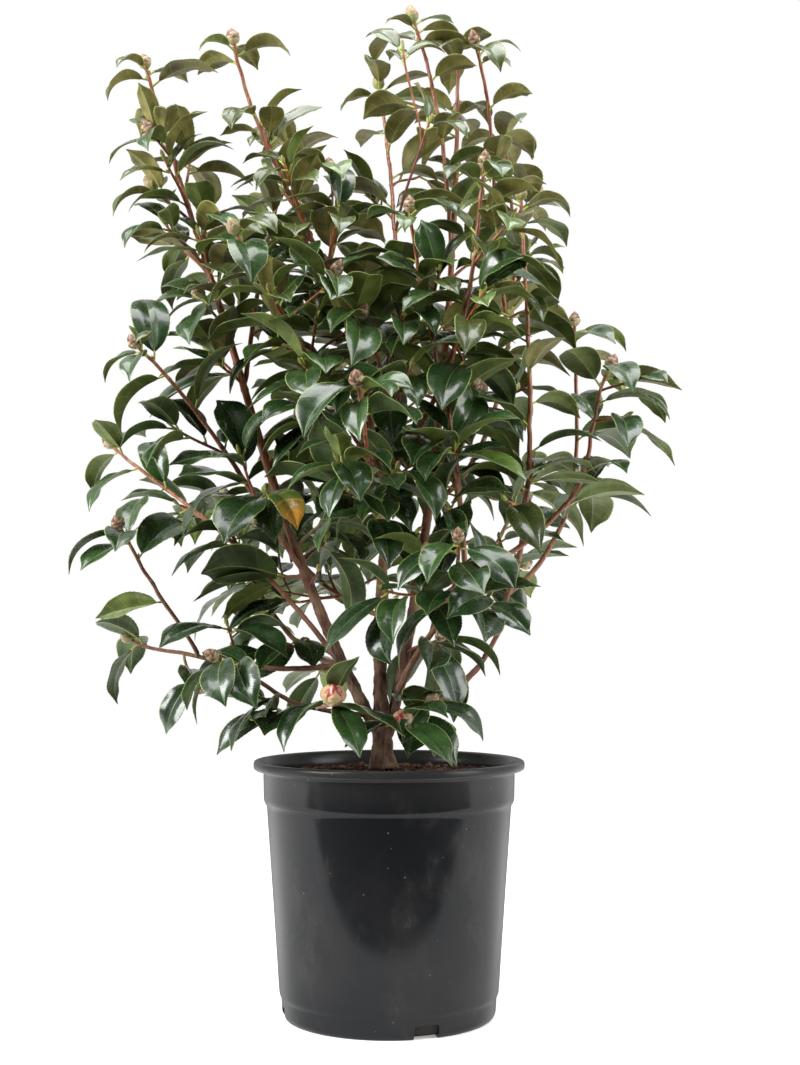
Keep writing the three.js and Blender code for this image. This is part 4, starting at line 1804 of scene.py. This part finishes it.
def make_bud(length, width, whorls, reach, rng):
    """A heap with one bud. Its slots are 0 for the body, 1 for a scale and 2 for its tip."""
    bud = Heap()
    points, faces = egg(length, width)
    bud.add(points, faces, [0] * len(faces))
    turn = rng.uniform(0, 6.3)
    for whorl in range(whorls, 0, -1):
        top = reach * (0.42 + 0.58 * whorl / whorls)
        foot = max(top - SCALE_LONG, 0.0)
        for k in range(3):
            angle = turn + 2.1 * k + 1.05 * whorl + rng.gauss(0, 0.12)
            patch, tiles = bud_scale(length, width * (1 + 0.05 * (whorls - whorl)), foot,
                                     top * rng.uniform(0.93, 1.0), angle, rng.uniform(0.95, 1.25))
            bud.add(patch, tiles, [2 if n // SCALE_ACROSS >= SCALE_ALONG - 2 else 1
                                   for n in range(len(tiles))])
    return bud


print(f"A bud is an egg of {BUD_SIDES * BUD_RINGS} faces under whorls of three scales.")

# %% [markdown]
# A bud's scales go from green to cream and brown, and their tips are darker. The petals that show
# in an opening bud are crimson, streaked paler and darker along their length. A plain tint with a
# fine mottle is enough for parts as small as the scales, but the petals catch the eye, so they
# have a finish of their own.

# %% Finish the buds
BUD_TINTS = {
    "flower_bud_green": colour(156, 158, 98),
    "flower_bud_cream": colour(190, 170, 132),
    "flower_bud_brown": colour(158, 122, 100),
    "flower_bud_tip": colour(112, 78, 60),
    "leaf_bud_green": colour(150, 160, 76),
    "leaf_bud_tip": colour(142, 106, 62),
    "opening_scale": colour(202, 188, 130),
    "opening_edge": colour(196, 162, 120),
    "petal_red": colour(164, 44, 52),
}
PETAL_PALE = colour(232, 202, 170)
PETAL_DARK = colour(112, 18, 28)


def finish_petals(name, red):
    """Red petals, streaked paler and darker from foot to tip."""
    made = Finish(name, red, 0.5)
    streak = made.noise(260, 3, made.stretched((1, 1, 0.35)))
    paint = made.tint(red, PETAL_PALE, made.spread(streak, 0.52, 0.62))
    made.paint(made.tint(paint, PETAL_DARK, made.spread(streak, 0.42, 0.32)))
    made.emboss(streak, 0.3 * MM, 0.4)
    return made.material


bud_finishes = []
for name, tint in BUD_TINTS.items():
    petals = name == "petal_red"
    bud_finishes.append(finish_petals(name, tint) if petals else finish_plain(name, tint, 0.5, 350))
print(f"The buds use {len(bud_finishes)} finishes.")

# %% [markdown]
# The leading shoots and some side shoots carry flower buds, often with a slim leaf bud beside
# them. Two flower buds low at the front have begun to open and show red: the body of the egg is
# petal, and the scales stop short of its tip. A tiny bud also sits in the angle over many of the
# leaf stalks, ready for next year.

# %% Set a bud on every shoot
FLOWER_SHARE = 0.25             # of the side shoots
PAIRED = 0.5                    # the share of flower buds with a leaf bud beside them
JOINT_SHARE = 0.5               # of the leaf stalks have a bud over them
BUD_NUMBERS = {name: number for number, name in enumerate(BUD_TINTS)}
GREEN_LOOK = ("flower_bud_green", "flower_bud_green", "flower_bud_brown")
BROWN_LOOK = ("flower_bud_brown", "flower_bud_cream", "flower_bud_tip")
SLIM_LOOK = ("leaf_bud_green", "leaf_bud_green", "leaf_bud_tip")
OPENING_LOOK = ("petal_red", "opening_scale", "opening_edge")
JOINT_LOOK = ("leaf_bud_green", "leaf_bud_green", "leaf_bud_tip")
# The least and greatest length of each kind of bud, then the least and greatest width.
FLOWER_BUD = ((15 * MM, 19 * MM), (9.5 * MM, 12 * MM))
LEAF_BUD = ((9 * MM, 14 * MM), (3.4 * MM, 4.4 * MM))
JOINT_BUD = ((3.5 * MM, 6 * MM), (1.8 * MM, 2.4 * MM))
OPENING_SIZES = (((20 * MM, 22 * MM), (19 * MM, 20 * MM)), ((17 * MM, 18 * MM), (15 * MM, 16 * MM)))
OPENING_REACH = (0.93, 0.965)   # how far up each opening bud the scales still cover it
SUNK = Vector((0, 0, MM))       # a bud's foot is sunk this far into its shoot


def set_bud(heap, place, heading, size, look, whorls, rng, reach=1.0):
    """Adds a bud to a heap."""
    length, width = (rng.uniform(*limits) for limits in size)
    bud = make_bud(length, width, whorls, reach, rng)
    turn = heading.to_track_quat("Z", "Y")
    heap.add([place + turn @ (point - SUNK) for point in bud.points], bud.faces,
             [BUD_NUMBERS[look[slot]] for slot in bud.slots])


def end_buds(rng):
    """The buds at the tips of all the shoots."""
    heap = Heap()
    opening = [min(spurs, key=lambda spur: (spur.points[-1] - Vector(tip)).length)
               for tip in OPENING_BUDS]
    for shoot in [limbs[name] for name in masses] + side_shoots + spurs:
        tip = shoot.points[-1]
        heading = (shoot.heading(len(shoot.points) - 1) + 0.2 * UP).normalized()
        if shoot in opening:
            which = opening.index(shoot)
            set_bud(heap, tip, heading, OPENING_SIZES[which], OPENING_LOOK, 3, rng,
                    OPENING_REACH[which])
        elif shoot.name in masses or rng.random() < FLOWER_SHARE:
            look = rng.choice((GREEN_LOOK, BROWN_LOOK, BROWN_LOOK))
            set_bud(heap, tip, heading, FLOWER_BUD, look, 3, rng)
            if rng.random() < PAIRED:
                across, _ = sideways(heading)
                lean = (heading + 0.5 * across).normalized()
                set_bud(heap, tip + 1.5 * MM * across - MM * heading, lean, LEAF_BUD,
                        SLIM_LOOK, 1, rng)
        else:
            set_bud(heap, tip, heading, LEAF_BUD, SLIM_LOOK, 1, rng)
    return heap


def joint_buds(rng):
    """The small buds in the angles over the leaf stalks."""
    heap = Heap()
    for pose in every_leaf:
        if rng.random() > JOINT_SHARE:
            continue
        heading = (pose["stalk"] + 1.2 * pose["heading"]).normalized()
        length, width = (rng.uniform(*limits) for limits in JOINT_BUD)
        points, faces = egg(length, width, 6, 4)
        turn = heading.to_track_quat("Z", "Y")
        place = pose["node"] + MM * pose["stalk"]
        number = BUD_NUMBERS[rng.choice(JOINT_LOOK)]
        heap.add([place + turn @ point for point in points], faces, [number] * len(faces))
    return heap


for name, heap in (("end_buds", end_buds(random.Random(47))),
                   ("joint_buds", joint_buds(random.Random(53)))):
    piece = join_piece(name, heap.points, heap.faces, bud_finishes, heap.slots)
    settle(piece, "foliage")
    print(f"{name}: {len(heap.faces)} faces")

# %% [markdown]
# ## The nursery pot
# The pot is blown from black plastic about 2 mm thick: a stiff rolled lip, a plain band under it,
# a wall that tapers to a ring at the foot, and four notches there that let water out. Its shape is
# turned, so it is made like work on a lathe, as one profile spun round the axis with every corner
# eased. A cylinder with loops pushed in would need more steps for the same shape.

# %% Write the lathe


def eased(corners, ease):
    """The same profile with each inner corner replaced by a short curve."""
    points = [Vector(corners[0])]
    for before, corner, after in zip(corners, corners[1:], corners[2:]):
        before, corner, after = Vector(before), Vector(corner), Vector(after)
        back = min(ease, 0.45 * (before - corner).length)
        on = min(ease, 0.45 * (after - corner).length)
        start = corner + (before - corner).normalized() * back
        end = corner + (after - corner).normalized() * on
        for share in (0, 0.25, 0.5, 0.75, 1):
            early, late = start.lerp(corner, share), corner.lerp(end, share)
            points.append(early.lerp(late, share))
    return [*points, Vector(corners[-1])]


def turned(profile, segments):
    """Points and faces of a profile spun round the axis. Its two ends lie on the axis."""
    points = [(0, 0, profile[0][1]), (0, 0, profile[-1][1])]
    rings = profile[1:-1]
    for radius, height in rings:
        for j in range(segments):
            angle = 2 * math.pi * j / segments
            points.append((radius * math.cos(angle), radius * math.sin(angle), height))
    faces = []
    last = 2 + (len(rings) - 1) * segments
    for j in range(segments):
        k = (j + 1) % segments
        faces.append((0, 2 + k, 2 + j))
        faces.append((1, last + j, last + k))
        for i in range(len(rings) - 1):
            low = 2 + i * segments
            faces.append((low + j, low + k, low + segments + k, low + segments + j))
    return points, faces


print("A profile can be eased at its corners and spun round the axis.")

# %% [markdown]
# The profile runs up the outside of the pot and down the inside, from the middle of the base to
# the middle of the floor. Radii are measured in from the lip, and heights down from it or up from
# the ground, so the wall follows if the pot is packed again in another size.

# %% Draw the pot's profile
POT_WALL = 2 * MM
POT_FLOOR = 4 * MM
CORNER = 3.4 * MM               # how far each corner of the profile is eased
pot_low, pot_high = (Vector(corner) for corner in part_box("pot"))
LIP_RADIUS = (pot_high.x - pot_low.x) / 2
LIP_TOP = pot_high.z
LIP_FOOT = LIP_TOP - 9 * MM
BAND_FOOT = LIP_FOOT - 30 * MM
BAND_RADIUS = LIP_RADIUS - 9.5 * MM
WAIST_RADIUS = LIP_RADIUS - 13 * MM
RING_RADIUS = LIP_RADIUS - 28 * MM
RING_TOP = 19 * MM
FOOT_RADIUS = RING_RADIUS - 4 * MM

inner_wall = [
    (FOOT_RADIUS, POT_FLOOR),
    (RING_RADIUS - POT_WALL, RING_TOP),
    (RING_RADIUS, RING_TOP + 4 * MM),
    (WAIST_RADIUS - POT_WALL, BAND_FOOT - 4 * MM),
    (BAND_RADIUS - 2.6 * MM, BAND_FOOT),
    (BAND_RADIUS - POT_WALL, LIP_FOOT),
]
outer_wall = [
    (0, 0),
    (FOOT_RADIUS - 12 * MM, 0),
    (FOOT_RADIUS - 10 * MM, 1.2 * MM),
    (FOOT_RADIUS - 5 * MM, 1.2 * MM),
    (FOOT_RADIUS - 3 * MM, 0),
    (FOOT_RADIUS, 0),
    (FOOT_RADIUS + 3 * MM, 4 * MM),
    (RING_RADIUS, RING_TOP),
    (RING_RADIUS + 2 * MM, RING_TOP + 4 * MM),
    (WAIST_RADIUS, BAND_FOOT - 4 * MM),
    (BAND_RADIUS - 0.6 * MM, BAND_FOOT),
    (BAND_RADIUS, LIP_FOOT),
    (LIP_RADIUS, LIP_FOOT),
    (LIP_RADIUS, LIP_TOP),
    (BAND_RADIUS + 1.5 * MM, LIP_TOP),
]
pot_profile = eased([*outer_wall, *reversed(inner_wall), (0, POT_FLOOR)], CORNER)
print(f"The profile has {len(pot_profile)} points, and the lip is {2000 * LIP_RADIUS:.0f} mm wide.")

# %% [markdown]
# The notches are the only parts that are not round. Each is cut with a Boolean by a short bar
# laid across the foot, with its upper corners rounded. They could be modelled face by face, but
# the lathe's even rings would then have to be broken up by hand.

# %% Make the bars that cut the notches
NOTCH_WIDE = 24 * MM
NOTCH_TALL = 13 * MM
NOTCH_DEEP = 14 * MM
NOTCH_BEARINGS = [-70, 10, 110, 190]            # in degrees from the X axis
SHOULDER = 2.5 * MM             # how far the upper corners of a notch are rounded


def notch_bar(bearing):
    """A bar with rounded shoulders that reaches across the foot of the wall."""
    side = NOTCH_WIDE / 2
    ease = SHOULDER
    outline = [(-side, -NOTCH_TALL), (side, -NOTCH_TALL), (side, NOTCH_TALL - ease),
               (side - 0.3 * ease, NOTCH_TALL - 0.3 * ease), (side - ease, NOTCH_TALL),
               (ease - side, NOTCH_TALL), (0.3 * ease - side, NOTCH_TALL - 0.3 * ease),
               (-side, NOTCH_TALL - ease)]
    turn = Matrix.Rotation(math.radians(bearing), 3, "Z")
    points = [turn @ Vector((RING_RADIUS + reach, across, height))
              for reach in (-NOTCH_DEEP, NOTCH_DEEP) for across, height in outline]
    count = len(outline)
    faces = [tuple(reversed(range(count))), tuple(range(count, 2 * count))]
    for j in range(count):
        k = (j + 1) % count
        faces.append((j, k, count + k, count + j))
    return join_piece("notch_bar", points, faces, [])


def cut(piece, bars):
    """Takes each bar out of the piece, and the bar out of the scene."""
    for bar in bars:
        step = piece.modifiers.new("cut", "BOOLEAN")
        step.object = bar
        step.solver = "EXACT"
    seen = piece.evaluated_get(bpy.context.evaluated_depsgraph_get())
    whole = bpy.data.meshes.new_from_object(seen)
    piece.modifiers.clear()
    piece.data = whole
    for bar in bars:
        bpy.data.objects.remove(bar)


print(f"{len(NOTCH_BEARINGS)} notches will be {NOTCH_WIDE * 1000:.0f} mm wide.")

# %% [markdown]
# Black plastic shows its wear: it is cloudy where it has been handled, finely scratched round its
# girth, and speckled with dust. All of that sits in the gloss more than in the colour, so most of
# the patterns here feed the roughness. The band and lip also turn a paler grey towards the top,
# partly wear and partly a painted sheen for the light along the lip.

# %% Turn the pot and finish the plastic
POT_SEGMENTS = 144
POT_SMOOTH = math.radians(50)   # faces of the pot that meet at less than this look like one


def finish_plastic():
    black = colour(24, 25, 27)
    grey = colour(52, 51, 50)
    made = Finish("black_plastic", black, 0.2, Specular_IOR_Level=0.17)
    cloud = made.noise(14, 4)
    smudge = made.spread(made.noise(22, 5, made.stretched((1, 1, 0.6)), 0.7), 0.54, 0.72)
    dust = made.cells(64)
    scratch = made.noise(60, 5, made.stretched((1, 1, 14)), 0.7)
    handled = made.noise(5, 2)
    # painted sheen and wear: a mask that rises from the band's foot to the lip
    sheen_and_wear = made.spread(made.height(), BAND_FOOT, LIP_FOOT + 2 * MM)
    paint = made.tint(black, grey, made.spread(cloud, 0.45, 0.75, 0, 0.3))
    paint = made.tint(paint, grey, made.spread(smudge, 0, 1, 0, 0.5))
    # the band and lip painted paler grey: partly wear, partly painted sheen
    paint = made.tint(paint, grey, made.spread(sheen_and_wear, 0, 1, 0, 0.6))
    paint = made.tint(paint, colour(150, 138, 120), made.spread(dust, 0.02, 0.045, 0.7, 0))
    made.paint(paint)
    rough = made.greater(made.spread(cloud, 0.3, 0.8, 0.09, 0.2),
                         made.spread(smudge, 0, 1, 0.09, 0.4))
    slant = add_node(made.tree, "ShaderNodeLayerWeight", {"Blend": 0.5}).outputs["Facing"]
    rough = made.greater(rough, made.spread(slant, 0.5, 0.95, 0.09, 0.5))
    made.gloss(made.greater(rough, made.spread(sheen_and_wear, 0.6, 1, 0.1, 0.28)))
    made.emboss(handled, 2.0 * MM, 0.15)
    made.emboss(scratch, 0.1 * MM, 0.1)
    return made.material


pot = join_piece("nursery_pot", *turned(pot_profile, POT_SEGMENTS), [finish_plastic()])
cut(pot, [notch_bar(bearing) for bearing in NOTCH_BEARINGS])
pot.data.polygons.foreach_set("use_smooth", [True] * len(pot.data.polygons))
pot.data.set_sharp_from_angle(angle=POT_SMOOTH)
settle(pot, "pot_plastic", "pot")
print(f"The pot has {len(pot.data.polygons)} faces and {len(NOTCH_BEARINGS)} notches.")

# %% [markdown]
# ## The compost
# Peaty compost fills the pot to a finger's width under the lip, a little heaped round the stem
# and sunk at the wall. Its top is a fine disc pushed up and down by two sizes of noise. Noise
# alone would look like cloth, so crumbs of peat, chips of bark and stray fibres lie on it too.

# %% Fill the pot
COMPOST_RINGS = 46
COMPOST_SEGMENTS = 120
COMPOST_GAP = 0.4 * MM          # between the compost and the pot's wall
HEAP_HIGH = 2.0 * MM            # how far the compost is heaped up in the middle
EDGE_LOW = 3.5 * MM             # and how far it is sunk at the wall
LUMP_HIGH, LUMP_WIDE = 2.4 * MM, 22 * MM
CRUMB_HIGH, CRUMB_WIDE = 1.3 * MM, 5 * MM
COMPOST_TOP = Vector(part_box("compost")[1]).z
COMPOST_EDGE = BAND_RADIUS - POT_WALL - COMPOST_GAP


def compost_height(x, y):
    """The height of the compost's top at a place."""
    out = math.hypot(x, y) / COMPOST_EDGE
    heap = HEAP_HIGH * (1 - out ** 2) - EDGE_LOW * out ** 4
    spot = Vector((x, y, 0))
    lumps = LUMP_HIGH * noise.fractal(spot / LUMP_WIDE, 0.8, 2.1, 3)
    crumbs = CRUMB_HIGH * noise.fractal(spot / CRUMB_WIDE, 0.7, 2.1, 3)
    return COMPOST_TOP + heap - HEAP_HIGH + lumps + crumbs


def fill_pot():
    """The compost's points and faces: its lumpy top, then the sides and the underside."""
    walls = [(radius - COMPOST_GAP, height + COMPOST_GAP) for radius, height in inner_wall[:-1]]
    edge = (COMPOST_EDGE - 0.4 * MM, COMPOST_TOP - 8 * MM)
    top = [(COMPOST_EDGE * i / COMPOST_RINGS, COMPOST_TOP) for i in range(COMPOST_RINGS, -1, -1)]
    profile = [(0, walls[0][1]), *walls, edge, *top]
    points, faces = turned(profile, COMPOST_SEGMENTS)
    for i, (x, y, z) in enumerate(points):
        if z == COMPOST_TOP:
            points[i] = (x, y, compost_height(x, y))
    return points, faces


def finish_peat():
    made = Finish("peat", colour(46, 30, 21), 0.95, Specular_IOR_Level=0.2)
    clod = made.noise(120, 4)
    grain = made.noise(900, 3)
    paint = made.tint(colour(28, 18, 13), colour(72, 47, 31), made.spread(clod, 0.35, 0.7))
    made.paint(made.tint(paint, colour(20, 13, 9), made.spread(grain, 0.5, 0.7, 0, 0.7)))
    made.emboss(grain, 0.9 * MM, 0.8)
    return made.material


peat_finish = finish_peat()
compost = join_piece("peat_compost", *fill_pot(), [peat_finish])
# The sides and underside are painted near black: painted shade for the dark inside the pot, seen
# through the notches.
compost.data.materials.append(finish_plain("root_ball_painted_shade", colour(22, 16, 12), 0.95, 200))
for face in compost.data.polygons:
    if face.center.z < COMPOST_TOP - 10 * MM:
        face.material_index = 1
settle(compost, "compost", "compost")
print(f"The compost has {len(compost.data.polygons)} faces.")

# %% [markdown]
# A crumb is a cube whose corners have each been pushed about at random: six faces are enough for
# something 5 mm across. A chip of bark is the same cube flattened, and a fibre is a bent thread.

# %% Scatter crumbs, chips and fibres
CRUMBS = 900
CHIPS = 90
FIBRES = 130
FIBRE_RADIUS = 0.28 * MM
CLEAR_OF_WALL = 4 * MM          # nothing lies closer to the pot's wall than this
CUBE = [Vector((x, y, z)) for z in (-1, 1) for x, y in ((-1, -1), (1, -1), (1, 1), (-1, 1))]
CUBE_FACES = [(3, 2, 1, 0), (4, 5, 6, 7), (0, 1, 5, 4), (1, 2, 6, 5), (2, 3, 7, 6), (3, 0, 4, 7)]


def lump(place, size, rng):
    """Eight corners of a rough lump at a place, turned at random."""
    tilt = Vector([rng.gauss(0, 0.35) for _ in range(2)] + [1]).to_track_quat("Z", "Y")
    turn = tilt @ Quaternion((0, 0, 1), rng.uniform(0, 6.3))
    return [place + turn @ Vector([c * s * rng.uniform(0.6, 1.1) for c, s in zip(corner, size)])
            for corner in CUBE]


def on_compost(rng):
    """A random place on the compost's top."""
    out = (COMPOST_EDGE - CLEAR_OF_WALL) * math.sqrt(rng.random())
    angle = rng.uniform(0, 2 * math.pi)
    x, y = out * math.cos(angle), out * math.sin(angle)
    return Vector((x, y, compost_height(x, y)))


def fibre_line(rng):
    """A thread that rises out of the compost and dips back into it."""
    start = on_compost(rng)
    way = Vector((rng.gauss(0, 1), rng.gauss(0, 1), 0)).normalized() * rng.uniform(6, 17) * MM
    end = start + way
    if math.hypot(end.x, end.y) > COMPOST_EDGE - CLEAR_OF_WALL:
        end = start - way
    end.z = compost_height(end.x, end.y)
    return curve(start, UP + way / MM, end, way / MM - UP, 3 * MM)


def scatter(rng):
    """One mesh of everything that lies loose on the compost."""
    heap = Heap()
    for i in range(CRUMBS + CHIPS):
        if i < CRUMBS:
            across = rng.uniform(0.8, 2.6) * MM
            size = (across, across * rng.uniform(0.7, 1.2), across * rng.uniform(0.5, 1))
            slot = rng.choice((0, 0, 1))
        else:
            size = (rng.uniform(2.5, 6) * MM, rng.uniform(1.5, 3) * MM, rng.uniform(0.5, 1.1) * MM)
            slot = 1
        heap.add(lump(on_compost(rng), size, rng), CUBE_FACES, [slot] * len(CUBE_FACES))
    for _ in range(FIBRES):
        line = fibre_line(rng)
        faces = tube_faces(len(line), 4)
        heap.add(tube(line, [FIBRE_RADIUS] * len(line), 4), faces, [2] * len(faces))
    finishes = [peat_finish, finish_plain("bark_chip", colour(84, 52, 34), 0.85, 400),
                finish_plain("root_fibre", colour(142, 108, 76), 0.8, 400)]
    return join_piece("compost_crumbs", heap.points, heap.faces, finishes, heap.slots, False)


crumbs = scatter(random.Random(41))
settle(crumbs, "compost")
print(f"{CRUMBS} crumbs, {CHIPS} chips and {FIBRES} fibres lie on the compost.")

# %% [markdown]
# ## The floor
# The plant stands on white paper. The paper stops short just in front of the pot, out of the
# camera's sight, and the dim room beyond it is what the front of the black wall mirrors, as a dark
# tongue that narrows downward. The paper also glows a little, so that it fades into the white
# behind it without a horizon and keeps only a soft shadow round the pot.

# %% Lay the paper, then note the size
PAPER_FRONT = -0.31             # where it ends, in metres from the middle of the pot
PAPER_SIDE = 3.0
PAPER_BACK = 3.5
PAPER_GLOW = 0.3

paper = Finish("floor_paper", colour(246, 246, 246), 0.9)
paper.shader.inputs["Emission Color"].default_value = (1, 1, 1, 1)
paper.shader.inputs["Emission Strength"].default_value = PAPER_GLOW
paper.material.cycles.emission_sampling = "NONE"        # the glow is seen, but lights little
floor = join_piece(
    "studio_floor",
    [(-PAPER_SIDE, PAPER_FRONT, 0), (PAPER_SIDE, PAPER_FRONT, 0),
     (PAPER_SIDE, PAPER_BACK, 0), (-PAPER_SIDE, PAPER_BACK, 0)],
    [(0, 1, 2, 3)], [paper.material])
floor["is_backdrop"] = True

low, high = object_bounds()
print(f"The plant measures {[round(1000 * (b - a)) for a, b in zip(low, high)]} mm.")
